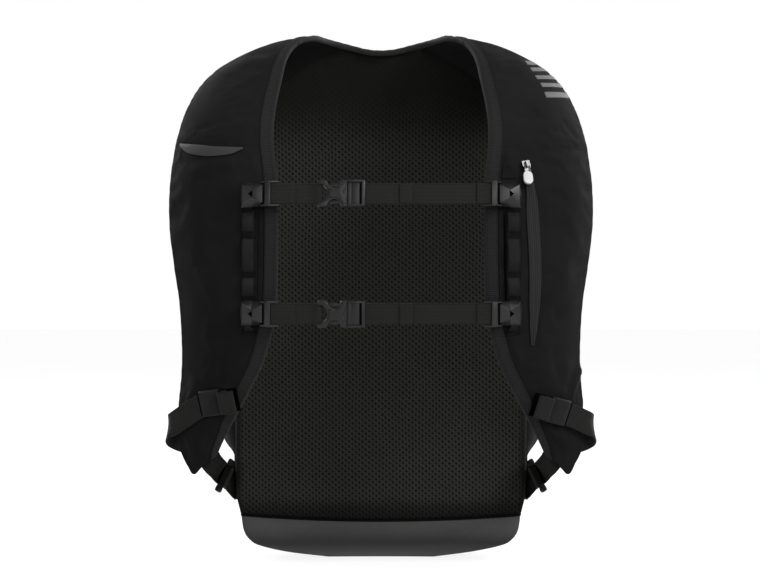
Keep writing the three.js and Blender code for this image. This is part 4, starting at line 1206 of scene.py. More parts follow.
# Padded back
def padded_back():
    u, v = np.meshgrid(np.linspace(0, 1, 96), np.linspace(0, 1, 132))
    rest = back_point(u, v, 0.0)
    normals = np.broadcast_to(vec(0, -1, 0), rest.shape)
    pins = np.zeros_like(u)
    pins[:2] = pins[-2:] = 1
    pins[:, :2] = pins[:, -2:] = 1
    moved = drape(wrinkled(rest, normals, pins, 5, 60, 0.35), pins, 0.008, 0.35, 1.2)
    move = settle(rest, normals, moved, -1.6, 2.6)
    across, across_share = rim_samples(1.0, 5.0 / 300, 110)
    down, down_share = rim_samples(1.0, 5.0 / 480, 150)
    u, v = np.meshgrid(across, down)
    share = (across_share[None] * down_share[:, None])[..., None]
    mid = back_point(u, v, BACK_PAD / 2)
    x, z = mid[..., 0], mid[..., 2]
    shift = sample(move, u, v)
    shift[..., 1] -= folds(x, z, BACK_FOLDS, 0.3)
    front = mid + (back_point(u, v, 0.0) - mid + shift) * share
    back = mid + vec(0, BACK_PAD / 2, 0) * share
    # The top edge rises beside the neck
    aside = np.abs(x)
    raised = lerp(-0.8, 4.0, smooth(aside / 40)) * smooth((96 - aside) / 30) * smooth(1 - v / 0.06)
    front[..., 2] += raised
    back[..., 2] += raised
    obj = make("back_padding", closed_sheet(front, back, grouped(x, z)), MESH, ["back_panel"])
    for side, sign in SIDES.items():
        rim = back_point(np.full(160, (1 + sign) / 2), np.linspace(0.012, 0.962, 160), BACK_PAD / 2)
        tube(f"back_seam_{side}", rim + vec(0.2 * sign, 4.6, 0), 1.3, SEAM_AND_SHADOW, sides=10)


padded_back()


# Bag
FLAT_SHARE = 0.2  # share of the way round the bag, on each side of its middle, that lies on the back


def bag_ring(q, z):
    """The bag's outer wall; q from 0 to 1 round it, from the middle of the back and to the left first."""
    half, depth, bulge = bag_size(z)
    q = np.asarray(q, float)
    seat = BACK_PAD + FRONT_GAP
    left, right = q < FLAT_SHARE, q > 1 - FLAT_SHARE
    x_flat = np.where(left, -half * q, half * (1 - q)) / FLAT_SHARE
    turn = math.pi * (1 - np.clip((q - FLAT_SHARE) / (1 - 2 * FLAT_SHARE), 0, 1))
    c, s = np.cos(turn), np.clip(np.sin(turn), 0, 1)
    x_round = np.sign(c) * (half * np.abs(c) ** ROUNDNESS + bulge * np.sqrt(s) * np.abs(c) ** 0.4)
    y_round = back_face(half, z) + seat + depth * s**ROUNDNESS
    flat = left | right
    x, y = np.where(flat, x_flat, x_round), np.where(flat, back_face(x_flat, z) + seat, y_round)
    return grouped(x, y, z)


def grid_normals(points):
    """A grid's normals, turned away from its middle."""
    normals = unit(np.cross(np.gradient(points, axis=1), np.gradient(points, axis=0)))
    inward = ((points - points.mean((0, 1))) * normals).sum() < 0
    return -normals if inward else normals


def smoothed(points, turns):
    for _ in range(turns):
        inner = points.copy()
        inner[1:-1] = 0.5 * points[1:-1] + 0.25 * (points[:-2] + points[2:])
        inner[:, 1:-1] = 0.5 * inner[:, 1:-1] + 0.25 * (inner[:, :-2] + inner[:, 2:])
        points = inner
    return points


def zip_height(q):
    """The height at which the main zip's plane meets the bag's wall."""
    low, high = np.full(q.shape, -400.0), np.full(q.shape, -19.0)
    for _ in range(40):
        z = (low + high) / 2
        deep = bag_ring(q, z)[..., 1] > ZIP_PLANE
        low, high = np.where(deep, z, low), np.where(deep, high, z)
    return low


# One tooth of the main zip: its points across, along and over the tape, and its sides
TOOTH = np.array([(x, y, 0.5) for x, y in ((-1.5, -0.55), (1.5, -0.55), (1.5, 0.55), (-1.5, 0.55))]
                 + [(x, y, 1.3) for x, y in ((-1.1, -0.3), (1.1, -0.3), (1.1, 0.3), (-1.1, 0.3))])
TOOTH_SIDES = ((4, 5, 6, 7), (0, 1, 5, 4), (1, 2, 6, 5), (2, 3, 7, 6), (3, 0, 4, 7))


class Bag:
    """The bag's cloth behind the padded back."""

    ROWS = 92

    def __init__(self):
        # More points round the free wall than on the hidden front
        flat = np.linspace(0, FLAT_SHARE, 9)[:-1]
        self.q = np.concatenate([flat, np.linspace(FLAT_SHARE, 1 - FLAT_SHARE, 111), 1 - flat[::-1]])
        # Rings closer together at the top and the foot
        sections = np.linspace(0, 1, len(BAG_SECTIONS))
        close = np.interp(np.linspace(0, 1, self.ROWS), sections, BAG_SECTIONS[:, 0])
        even = np.linspace(BAG_SECTIONS[0, 0], BASE_SEAM + 0.4, self.ROWS)
        self.z = (close + even) / 2
        rest = smoothed(bag_ring(self.q[None], self.z[:, None]), 3)
        rest[:, 0] = rest[:, -1] = (rest[:, 0] + rest[:, -1]) / 2
        self.normals = grid_normals(rest)
        pins = np.zeros(rest.shape[:2])
        pins[:2] = pins[-3:] = 1
        pins[:, (self.q < FLAT_SHARE + 0.025) | (self.q > 0.975 - FLAT_SHARE)] = 1
        pins[(np.abs(rest[..., 1] - ZIP_PLANE) < 9) & (rest[..., 2] > ZIP_LOWEST - 4)] = 1
        start = wrinkled(rest, self.normals, pins, 3, 70, 0.6)
        a, b, c, d = rest[40, 40], rest[41, 41], rest[40, 41], rest[41, 40]
        flip = np.sign(np.cross(b - a, d - c) @ self.normals[40, 40])
        moved = drape(start, pins, 0.022, 0.5 * flip, 0.35, frames=22)
        self.shape = rest + settle(rest, self.normals, moved, -4.0, 3.2, 5.0)

    def lay(self, q, z, over):
        """Points that far over the cloth, and its normals there."""
        j = np.interp(-z, -self.z, np.linspace(0, 1, len(self.z)))
        i = np.interp(q, self.q, np.linspace(0, 1, len(self.q)))
        normals = unit(sample(self.normals, i, j))
        return sample(self.shape, i, j) + normals * over, normals

    def build(self):
        shape = self.shape
        top = shape[0].mean(0) + vec(0, 0, 0.6)
        foot = shape[-1].mean(0)
        lid = [lerp(top, shape[0], share) for share in (0.02, 0.5, 0.85)]
        floor = [lerp(foot, shape[-1], share) for share in (0.9, 0.02)]
        grid = np.array([*lid, *shape, *floor])
        uv = grouped(lengths(shape[60])[None], lengths(grid[:, len(self.q) // 2 + 1])[:, None])
        make("bag_cloth", closed_tube(grid[:, :-1], uv), BAG_CLOTH, ["bag_shell"])

    def zip(self):
        """The main zip over the bag: tape, coil and the rows that hold it."""
        q = np.linspace(FLAT_SHARE, 1 - FLAT_SHARE, 700)
        z = zip_height(q)
        keep = z > ZIP_LOWEST + 2
        path, up = self.lay(q[keep], z[keep], 0.9)

        def lips(u, along, total):
            return 0.9 * hump(np.abs(u) - 2.4, 1.5) - 0.3 * hump(u, 1.0)

        band("main_zip_tape", path, up, 16.0, TAPE, ZIP, ["main_zip"], 3.0, 22, lips)
        at, n = resample(path, np.arange(3, lengths(path)[-1] - 3, 2.1), up)
        forward = unit(np.gradient(at, axis=0))
        axes = np.stack([np.cross(n, forward), forward, n], 1)
        make("main_zip_coil", repeated(at[:, None] + TOOTH @ axes, TOOTH_SIDES), TEETH, sharp=30)
        side = unit(np.cross(up, unit(np.gradient(path, axis=0))))
        lines = [(path + side * shift + up * 0.62, up) for shift in (-6.6, 6.6)]
        stitches("main_zip_thread", lines, THREAD)


BAG = Bag()
BAG.build()
BAG.zip()


# Base panel
BASE_ROWS, BASE_COLUMNS = 70, 240


def base_seam():
    """The seam round the bag's foot, from the middle behind, round one side, the front and the other side."""
    x = np.linspace(-BASE_HALF_WIDTH, BASE_HALF_WIDTH, 61)
    front = grouped(x, back_face(x, BASE_SEAM), seam_dip(x))
    t = np.linspace(0, math.pi, 131)
    c, s = np.cos(t), np.clip(np.sin(t), 0, 1)
    x = np.sign(c) * BASE_HALF_WIDTH * np.abs(c) ** ROUNDNESS
    y = back_face(BASE_HALF_WIDTH, BASE_SEAM) + (BASE_DEPTH + BACK_PAD) * s**ROUNDNESS
    side = grouped(x, y, BASE_SEAM)
    ring = np.concatenate([side[65:], front[1:], side[1:66]])
    ring, = resample(ring, np.linspace(0, lengths(ring)[-1], BASE_COLUMNS))
    for _ in range(2):
        ring[1:-1] = 0.5 * ring[1:-1] + 0.25 * (ring[:-2] + ring[2:])
    return ring


def base():
    ring = base_seam()
    centre = vec(0, BACK_DEPTH + (BACK_PAD + BASE_DEPTH) / 2, 0)

    def scaled(scale, z):
        row = centre + (ring - centre) * scale
        row[:, 2] = z
        return row

    sections = spline(BASE_SECTIONS, np.linspace(0, 1, BASE_ROWS))
    drops = np.clip(sections[:, 0], 0, BASE_SEAM - BASE_FOOT)
    dip = ring[:, 2] - BASE_SEAM
    kept = np.clip(1 - drops / BASE_SECTIONS[1, 0], 0, 1)  # of the seam's dip, on the way down
    rows = zip(drops, sections[:, 1], kept)
    grid = np.array([scaled(scale, BASE_SEAM - drop + dip * keep) for drop, scale, keep in rows])
    # Soft wrinkles on the wall, and short gathers under the seam
    k = np.arange(BASE_ROWS)
    fade = smooth(k / 14) * smooth((48 - k) / 16)
    gather = np.sin(np.linspace(0, 80 * math.pi, BASE_COLUMNS) + 3 * np.sin(np.linspace(0, 25, BASE_COLUMNS)))
    rise = ripple(grid, 17, 120) * 0.9 * fade[:, None] + 0.25 * gather[None] * hump(k - 3, 3.0)[:, None]
    grid = grid + grid_normals(grid) * rise[..., None]
    grid[:, -1] = grid[:, 0]
    rim = grid[0]
    grid = np.concatenate([[scaled(0.01, BASE_SEAM - 8), scaled(0.93, ring[:, 2] - 1.0)], grid])
    uv = grouped(lengths(rim)[None], lengths(grid[:, BASE_COLUMNS // 2])[:, None])
    make("base_cloth", closed_tube(grid[:, :-1], uv), BASE, ["base_panel"])
    out = unit((rim - centre) * vec(1, 1, 0))
    # The dark seam roll over the base also stands in for the shadow line there: painted shadow
    tube("base_seam_roll", rim - out * 0.5 + vec(0, 0, 0.9), 1.2, SEAM_AND_SHADOW, sides=10)


base()


# Narrow webbing with its tacks
CHAIN_LIE = 0.4  # between a panel's face and the webbing
TACK_HALF = 6.5  # half of a row of tacks


def chain_rise(z):
    """How far the narrow webbing's loops stand off the panel."""
    rise = np.zeros_like(z)
    for top, bottom, high in CHAIN_LOOPS:
        over = high - FACE - CHAIN_LIE
        if high < CLIP_LOOP:
            inside = np.clip((top - z) / (top - bottom), 0, 1)
            rise = rise + 2.2 * over * np.sin(math.pi * inside) ** 0.7
        else:
            ends = np.clip(np.minimum(top - z, z - bottom) / 5.0, 0, 1)
            rise = rise + over * np.sin(math.pi / 2 * ends)
    return rise


def narrow_webbing(panel):
    z = np.linspace(*CHAIN_ENDS, 320)
    rise = chain_rise(z)
    path, up = panel.lay(*seen_at(CHAIN_SEEN, z), CHAIN_LIE + TAPE / 2 + rise)
    share = lengths(path) / lengths(path)[-1]
    tight = smooth((z + 178) / 6) + smooth((-255 - z) / 6)
    under = smooth((z + 175) / 4) + smooth((-258 - z) / 4) * smooth((z + 287) / 4)

    def width(t):
        return CHAIN_WIDTH + 0.8 - np.interp(t, share, 3.6 * tight + 3.2 * under)

    def full(u, along, total):
        return np.interp(along / total, share, 0.2 * rise) * (1 - (u / TACK_HALF) ** 2)

    name = f"clip_webbing_{panel.side}"
    band(f"{name}_band", path, up, width, TAPE, CHAIN, [name], 0.9, 12, full)
    # Dense dark bar tacks between the loops: real tacks, with their dark tone also painted shade of the
    # valleys there
    lines = []
    off = np.linspace(-TACK_HALF, TACK_HALF, 14)
    for top, bottom in TACK_ZONES:
        for level in np.arange(top, bottom, -1.15):
            over = 1.75 + chain_rise(level) * (1.2 - 0.2 * (off / TACK_HALF) ** 2)
            lines.append(panel.lay(*seen_at(CHAIN_SEEN + off, level), over))
    stitches(f"{name}_tacks", lines, TACK_AND_SHADE, pitch=1.0, length=1.9, width=0.9, height=0.35)


for panel in PANELS.values():
    narrow_webbing(panel)


# Clips: points toward the buckle from the narrow webbing, out from the panel, and up
CLIP_FOOT = (
    (-4.2, 9.0, 11.9), (6.5, 9.0, 11.6), (17.6, 9.6, 11.9),
    (17.6, 9.6, -11.6), (6.5, 9.0, -11.6), (-4.2, 9.0, -12.3),
)
CLIP_TOP = (
    (-2.6, 13.6, 9.4), (6.2, 16.6, 3.9), (16.8, 16.2, 8.8),
    (16.8, 16.2, -8.4), (6.2, 16.6, -3.9), (-2.6, 13.6, -8.6),
)
CLIP_MOUTH = ((3.1, 15.8, 0.2), (7.5, 16.6, 3.2), (7.3, 16.6, -3.3))
CLIP_BAR = ((18.4, 16.4), (25.6, 16.4), (19.4, 18.6), (24.6, 18.6))
CLIP_BAR_HALF = 11.7
CLIP_HOOK_HALF = 6.0
CLIP_LIP = (
    (14.6, 9.8, 10.3), (14.6, 14.6, 10.3), (14.6, 9.8, 11.9), (14.6, 14.6, 11.6),
    (22.0, 9.8, 10.3), (22.0, 18.4, 10.3), (22.0, 9.8, 12.6), (22.0, 18.4, 12.3),
    (32.4, 12.6, 10.6), (32.4, 15.8, 10.6), (32.4, 12.6, 12.2), (32.4, 15.8, 12.0),
)


def extruded(profile, half):
    return [(a, b, c) for (a, b), c in product(profile, (-half, half))]


def clip_piece(name, sign, turn, place, replaces):
    """A moulded clip: a waisted body with a hollow, and a bar between two lips for the strap."""
    def turned(share):
        c, s = math.cos(sign * turn * share), math.sin(sign * turn * share)

        def at(w, n, t):
            x, y = -sign * w, -n
            return x * c - y * s, x * s + y * c, t

        return at

    at, hook = turned(0.35), turned(1.0)
    made = Moulding()
    # The body's top has a hollow in its waist, so its faces are listed one by one
    bm = bmesh.new()
    foot, top, rim = ([bm.verts.new(at(*p)) for p in ring] for ring in (CLIP_FOOT, CLIP_TOP, CLIP_MOUTH))
    deep = [bm.verts.new(at(w, 10.6, t)) for w, _, t in CLIP_MOUTH]
    bm.faces.new(foot)
    made.walls(bm, foot, top)
    made.walls(bm, rim, deep)
    bm.faces.new(deep)
    a, b, c, d, e, f = top
    h, i, j = rim
    for face in ([a, b, i, h], [h, j, e, f], [a, h, f], [b, c, i], [i, c, d, j], [j, d, e]):
        bm.faces.new(face)
    body = foot + top
    made.take(bm, 0.5, edges=[x for x in bm.edges if all(v in body for v in x.verts)])
    # Hook behind the narrow webbing
    sides = (-CLIP_HOOK_HALF, CLIP_HOOK_HALF)
    leg = [hook(w, 4.0, t) for w in (-4.2, -3.0) for t in sides]
    made.hull(leg + [at(w, 10.4, t) for w in (-3.9, -2.7) for t in sides], 0.4)
    made.hull([hook(*p) for p in product((-4.2, 6.4), (4.0, 6.2), sides)], 0.5)
    # Bar in front of the strap, bar behind it, and the lips above and below
    made.hull([at(*p) for p in extruded(CLIP_BAR, CLIP_BAR_HALF)], 0.6)
    made.hull([at(*p) for p in product((19.6, 23.4), (9.8, 11.6), (-CLIP_BAR_HALF, CLIP_BAR_HALF))], 0.4)
    for side in (-1, 1):
        made.hull([at(w, n, side * t) for w, n, t in CLIP_LIP], 0.45)
    made.piece(name, place, PLASTIC, replaces)
    # A near-black floor inside the hollow: painted shade that makes the hollow read deep
    floor = Moulding()
    floor.hull([at(lerp(w, 6.0, 0.02), n, 0.98 * t) for w, _, t in CLIP_MOUTH for n in (11.0, 13.6)], 0)
    floor.piece(name.replace("moulding", "hollow"), place, HOLLOW_SHADE)


# Buckles: upper halves of the outlines, in x and z from a buckle's middle
SOCKET_TOP = [
    (-22.5, 9.4), (-22.3, 12.0), (-20.8, 13.0), (-15.6, 12.9), (-13.8, 11.8), (-12.7, 9.2), (-10.6, 7.1),
    (-8.0, 5.9), (-5.4, 5.9), (-3.2, 7.1), (-1.6, 9.4), (-0.8, 11.6), (0.6, 12.7), (4.2, 12.8), (5.3, 12.0),
]
SOCKET_NOTCH = [(-14.2, 4.6), (-16.4, 7.4), (-19.4, 8.9)]
SOCKET_PAD = [
    (-12.0, 3.6), (-9.2, 4.7), (-6.6, 4.4), (-3.6, 4.9), (-1.0, 7.4), (0.8, 10.2), (4.2, 10.6), (4.2, 4.4),
]
SOCKET_BAR_X = -20.5
PLUG_FACE = ((9.2, 3.2), (17.4, 1.8), (9.2, -2.9), (17.2, -3.1))
PLUG_BAR = ((19.3, -5.2), (22.5, -4.6), (19.5, -1.9), (22.5, -1.9))
PLUG_LEG = (
    (6.0, -5.0, 10.4), (6.0, 4.2, 10.2), (6.0, -4.4, 13.0), (6.0, 4.2, 13.0),
    (22.5, -5.0, 10.6), (22.5, 3.0, 10.4), (22.5, -4.2, 12.6), (22.5, 3.0, 12.1),
)
PLUG_PRONG = (
    (1.0, 6.6), (-9.0, 6.6), (-12.2, 7.4), (-11.6, 9.2), (-8.6, 10.4), (-4.6, 10.2), (-1.6, 8.9), (1.0, 8.8),
)


def lower_half(points):
    return [(x, -z) for x, z in points[::-1]]


def buckle_socket(name, place, replaces):
    made = Moulding()
    outline = SOCKET_TOP + lower_half(SOCKET_TOP) + lower_half(SOCKET_NOTCH) + [(-13.4, 0.0)] + SOCKET_NOTCH
    made.prism(outline, -4.6, 4.6, 0.9, 3)
    made.prism(SOCKET_PAD + [(0.9, 0.0)] + lower_half(SOCKET_PAD), -6.4, -4.2, 1.1, 3)
    # Bar for the sewn strap, between the two legs
    made.box((SOCKET_BAR_X - 1.7, -1.5, -11.5), (SOCKET_BAR_X + 1.7, 1.5, 11.5), 0.7)
    made.piece(name, place, BUCKLE, replaces)


def buckle_plug(name, place, replaces):
    made = Moulding()
    made.box((5.7, -3.2, -12.3), (9.6, 4.3, 12.3), 0.8)
    made.hull(extruded(PLUG_FACE, 11.6), 0.6)
    for side in (-1, 1):
        made.hull([(x, y, side * z) for x, y, z in PLUG_LEG], 0.7)
        # Prong, sprung against the socket's side opening
        made.prism([(x, side * z) for x, z in PLUG_PRONG[::side]], -2.7, 2.7, 0.6)
    made.box((-8.0, -2.2, -1.6), (6.5, 2.2, 1.6), 0.5)
    made.hull(extruded(PLUG_BAR, 12.2), 0.7)
    made.piece(name, place, BUCKLE, replaces)


# Chest straps
CLIP_BAR_AWAY, CLIP_BAR_OUT = 21.3, 12.4  # a clip's strap, from the narrow webbing and from the panel
FOLD_ROOM = 2.4  # from a clip's bar to where its strap's places are counted from


def level_frame(z):
    """How a chest strap's level lies: the clips' turn, and what places the level's own points."""
    s, v = seen_at(CHAIN_X, z)
    seat, normal = harness(s, v), harness_normal(s, v)
    turn = math.asin(normal[0])
    lean = -math.asin(normal[2] / math.cos(turn))
    c, n = math.cos(lean), math.sin(lean)
    rotate = np.array([[1, 0, 0], [0, c, -n], [0, n, c]])

    def shifted(x, y):
        def place(p):
            return (np.asarray(p, float) + vec(x, y, 0)) @ rotate.T + vec(0, seat[1], seat[2])

        return place

    return turn, shifted


def chest_level(level, z):
    turn, shifted = level_frame(z)
    bar_x = CHAIN_X - CLIP_BAR_AWAY * math.cos(turn) + CLIP_BAR_OUT * math.sin(turn)
    bar_y = -CLIP_BAR_OUT * math.cos(turn) - CLIP_BAR_AWAY * math.sin(turn)
    for side, sign in SIDES.items():
        place = shifted(sign * CHAIN_X, 0)
        clip_piece(f"clip_{level}_{side}_moulding", sign, turn, place, [f"clip_{level}_{side}"])
    buckle_place, lay = shifted(BUCKLE_X, bar_y), shifted(0, bar_y)
    buckle_socket(f"buckle_{level}_socket", buckle_place, [f"buckle_socket_{level}"])
    buckle_plug(f"buckle_{level}_plug", buckle_place, [f"buckle_plug_{level}"])
    name = f"chest_strap_{level}"

    def wave(u, along, total):
        return 0.22 * np.sin(along * 2 * math.pi / 47.0) * (u / 10.0)

    def strap(part, path, replaces=(), width=WEBBING_WIDTH):
        """A strap from left to right in the level's own x and y; its face looks forward."""
        curve = spline(path, np.linspace(0, 1, (len(path) - 1) * 14 + 1))
        tangent = unit(np.gradient(curve, axis=0))
        points = grouped(curve[:, 0], curve[:, 1], 0.0)
        normals = grouped(tangent[:, 1], -tangent[:, 0], 0.0)
        up = lay(points + normals) - lay(points)
        band(f"{name}_{part}", lay(points), up, width, WEBBING, WEB, replaces, 1.6, 14, wave)

    def cross_stitch(part, columns, y):
        up = np.linspace(-8.6, 8.6, 14)
        out = np.broadcast_to(lay(vec(0, -1, 0)) - lay(vec(0, 0, 0)), (14, 3))
        lines = [(lay(grouped(x, y, up)), out) for x in columns]
        stitches(f"{name}_{part}", lines, THREAD, pitch=2.2, length=1.6, width=0.7)

    left, right = FOLD_ROOM - bar_x, bar_x - FOLD_ROOM
    plug = BUCKLE_X
    # Left: sewn round the clip's bar, and sewn round the socket's bar
    strap("left_band", [
        (left - 3.0, 0.2), (left + 4, 0.1), (left + 14, 0.0), (-92, 0.1), (-80, 0.0), (-70, 0.0), (-64, -0.9),
        (-60.6, -2.4), (-58, -2.9), (-55.4, -1.8),
    ], [f"{name}_left"])
    strap("left_fold", [(left - 3.4, -1.6), (left + 4, -1.5), (left + 14, -1.5), (-90, -1.5), (-81, -1.45)])
    cross_stitch("left_thread", (-82.6, -84.6), -2.25)
    # Right: from the plug's bars to the clip, with the free end folded in a hem
    strap("right_band", [
        (plug + 12.0, 4.4), (plug + 15.0, 3.9), (plug + 17.5, 2.6), (plug + 19.6, 1.3), (plug + 22.0, 0.9),
        (plug + 26, 0.8), (0, 0.8), (20, 0.8), (45, 0.6), (70, 0.2), (right - 14, 0.0), (right - 4, 0.1),
        (right + 3.0, 0.2),
    ], [f"{name}_right"])
    strap("right_tail", [
        (plug + 19.6, -1.0), (plug + 24, -0.9), (0, -0.85), (14, -0.9), (22, -1.0), (29.6, -1.0),
    ])
    hem = [(17.5, -2.35), (20, -2.45), (25, -2.5), (28.2, -2.4), (29.8, -1.9)]
    strap("right_hem", hem, width=WEBBING_WIDTH - 0.4)
    strap("right_fold", [(90.5, -1.45), (96, -1.5), (right - 8, -1.5), (right + 3.4, -1.6)])
    cross_stitch("right_thread", (19.0, 20.8), -3.25)
    cross_stitch("right_tack", (92.0, 94.0), -2.25)


chest_level("upper", UPPER_STRAP_Z)
chest_level("lower", LOWER_STRAP_Z)


# Lower straps, ladder locks and corner tabs
LOCK_BAR = 8.4  # a lock's outer bars, from its middle
LOCK_LIP = ((9.4, 1.6, 9), (12.0, 2.6, 7), (9.4, -0.6, 9), (12.0, 1.2, 7))
TURN_RADIUS = 3.6
CORNER_ROOT = (vec(152.9, 112, -450), vec(152.9, 99, -449.8), vec(153.2, 88, -449))
CORNER_WIDTHS = ((0, 40), (0.18, 40), (0.32, 37), (0.42, 25), (0.5, 22), (1, 22))
STRAP_SEAT = 0.28  # where the strap is sewn, across a panel's end edge


def lock_frame():
    """The right ladder lock's middle, and the ways forward, across and up on it."""
    forward = unit(vec(7, -115, 19))
    across = vec(0.41, 0, -0.91)
    across = unit(across - forward * (across @ forward))
    return vec(160.5, 55, -441), forward, across, unit(np.cross(forward, across))


def round_bar(start, start_normals, ahead):
    """A strap's path and normals, from its start and round the lock's front bar (1) or back bar (-1)."""
    centre, forward, _, up = lock_frame()
    way = forward * ahead
    bar = centre + way * LOCK_BAR

    def at(x, n):
        return bar + way * x + up * n

    turns = np.linspace(0, math.pi, 9)
    path = [*start, at(13, 2.6), at(6, 3.4)]
    path += [at(-TURN_RADIUS * math.sin(a), TURN_RADIUS * math.cos(a)) for a in turns]
    path += [at(6, -3.2), at(14, -0.4)]
    normals = [*start_normals, up, up]
    normals += [up * math.cos(a) - way * math.sin(a) for a in turns]
    return dense(path, normals + [-up, -up])


def strap_start():
    """The lower strap's first points and faces, from behind the panel's end edge."""
    inner = -harness_normal(STRAP_SEAT, 1.0)
    seat = harness(STRAP_SEAT, 1.0) + inner * 6.3
    off = unit(np.cross(inner, harness(0.56, 1.0) - harness(0.0, 1.0)))
    off = -off if off[0] > 0 else off
    across = vec(0.72, -0.09, -0.68)
    path = [seat - off * 6, seat - off * 2, seat + off * 2]
    path += [vec(164.8, -86, -417), vec(163.9, -50, -423.5), vec(162.8, 0, -431.5), vec(164, 30, -436.5)]
    faces = [inner] * 3 + [unit(np.cross(across, path[i + 1] - path[i - 1])) for i in (3, 4, 5)]
    return path[:6], faces


def ladder_lock(side, sign):
    centre, forward, across, up = lock_frame()
    axes = np.array([forward, -up, across])
    made = Moulding()
    for x, half in ((-LOCK_BAR, 2.0), (0.0, 1.5), (LOCK_BAR, 2.0)):
        made.box((x - 1.6, -half, -16.8), (x + 1.6, half, 16.8), 0.6)
    for z in (-14.9, 14.9):
        made.box((-10.4, -2.6, z - 3.4), (10.4, 2.6, z + 3.4), 2.4)
    made.hull([(x, y, end * z) for x, y, z in LOCK_LIP for end in (-1, 1)], 0.4)

    def place(p):
        return (centre + p @ axes) * vec(sign, 1, 1)

    name, nodes = f"ladder_lock_{side}_moulding", [f"ladder_lock_{side}"]
    made.piece(name, place, LOCK, nodes, flip=sign * np.linalg.det(axes) < 0)


def lower_side(side, sign):
    mirror = vec(sign, 1, 1)
    path, up = round_bar(*strap_start(), 1)
    name = f"lower_strap_{side}"
    band(f"{name}_band", path * mirror, up * mirror, LOWER_WIDTH, WEBBING, LOWER_WEB, [name])

    def width(t):
        return np.interp(t, *np.transpose(CORNER_WIDTHS))

    path, up = round_bar(CORNER_ROOT, [vec(1, 0, 0)] * 3, -1)
    name = f"corner_tab_{side}"
    band(f"{name}_band", path * mirror, up * mirror, width, WEBBING, WIDE_WEB, [name], 1.6, 18)
    z = np.linspace(-467, -433, 20)
    out = np.broadcast_to(vec(sign, 0, 0), (20, 3))
    lines = [(grouped(153.7 * sign, y, z), out) for y in (109.5, 104.0)]
    stitches(f"{name}_thread", lines, THREAD)
    ladder_lock(side, sign)


for side, sign in SIDES.items():
    lower_side(side, sign)


# Stowed strap ends and their keepers: x and z as seen from the front, and the strap's climb there
KEEPERS = {"left": (159.2, -356.4, 0.72), "right": (166.0, -364.4, 1.44)}
# Dark sheets of painted shadow at a keeper, under the strap and inside the loop: first and last place along
# the strap, height over its middle, extra width
KEEPER_SHADOWS = (("under", 26.5, -12.0, -1.7, 1.0), ("shadow_strip", 10.2, -14.4, 1.1, 0.6))
KEEPER_WIDTH = 20.8
KEEPER_CORNER = 1.4
KEEPER_ROOM = 1.1


def keeper_frame(side):
    """The middle of a keeper, the way its strap runs, and the panel's normal there."""
    x, z, climb = KEEPERS[side]
    s, v = seen_at(x, z)
    seat, normal = harness(s, v), harness_normal(s, v)
    run = harness(*seen_at(x - 5.0, z + climb)) - seat
    run = unit(run - normal * (run @ normal))
    return seat + normal * 4.8, run, normal


def arc(x, y, radius, start, stop, count):
    """Points of an arc, between two angles in degrees."""
    turns = np.radians(np.linspace(start, stop, count))
    return [(x + radius * math.cos(a), y + radius * math.sin(a)) for a in turns]


def stowed_end(side, sign):
    mirror = vec(sign, 1, 1)
    centre, run, normal = keeper_frame(side)
    # From the hemmed end, over the front and back under it, then through the keeper
    flat = np.array([
        (18.5, 6.2), (22.0, 5.9), *arc(24.0, 7.2, 1.4, -90, 90, 7),
        (19.5, 9.6), (15.0, 9.6), *arc(12.0, 7.2, 2.3, 90, 270, 7),
        (13.4, 4.9), *arc(14.6, 2.45, 2.45, 90, -90, 7), (9.0, 0.0), (-9.0, 0.0),
    ])
    slope = unit(np.gradient(flat, axis=0))
    path = centre + flat @ np.array([run, normal])
    up = slope @ np.array([-normal, run])
    # Then round the panel's outer edge to its back
    _, edge = seen_at(191.0, -374.0)
    s = vec(0.9, 0.8)
    behind = harness_normal(s, edge + 0.045)
    path_round = [(197.5, -105, -377), (206, -93, -383), (204.5, -83, -390), (198, -78, -395.5)]
    up_round = [(0.5, -0.8, -0.2), (1, 0, 0), (0.7, 0.7, 0), (-0.2, 1, 0)]
    path = np.concatenate([path, path_round, harness(s, edge + 0.045) - behind * 5.0])
    path, up = dense(path, np.concatenate([up, up_round, -behind]))
    path, up = path * mirror, up * mirror
    name = f"strap_tail_{side}"
    band(f"{name}_band", path, up, LOWER_WIDTH, WEBBING, WIDE_WEB, [name], 1.4, 12)
    # Painted shadow: dark sheets a little wider than the strap, under it and inside the keeper, show as dark
    # lines at their edges
    for layer, first, last, over, wider in KEEPER_SHADOWS:
        line = centre + normal * over + run * np.linspace(first, last, 20)[:, None]
        up = np.broadcast_to(normal * mirror, line.shape)
        name = f"tail_keeper_{side}_{layer}"
        band(name, line * mirror, up, LOWER_WIDTH + wider, 0.7, SHADOW_CLOTH, step=1.4, across=12)


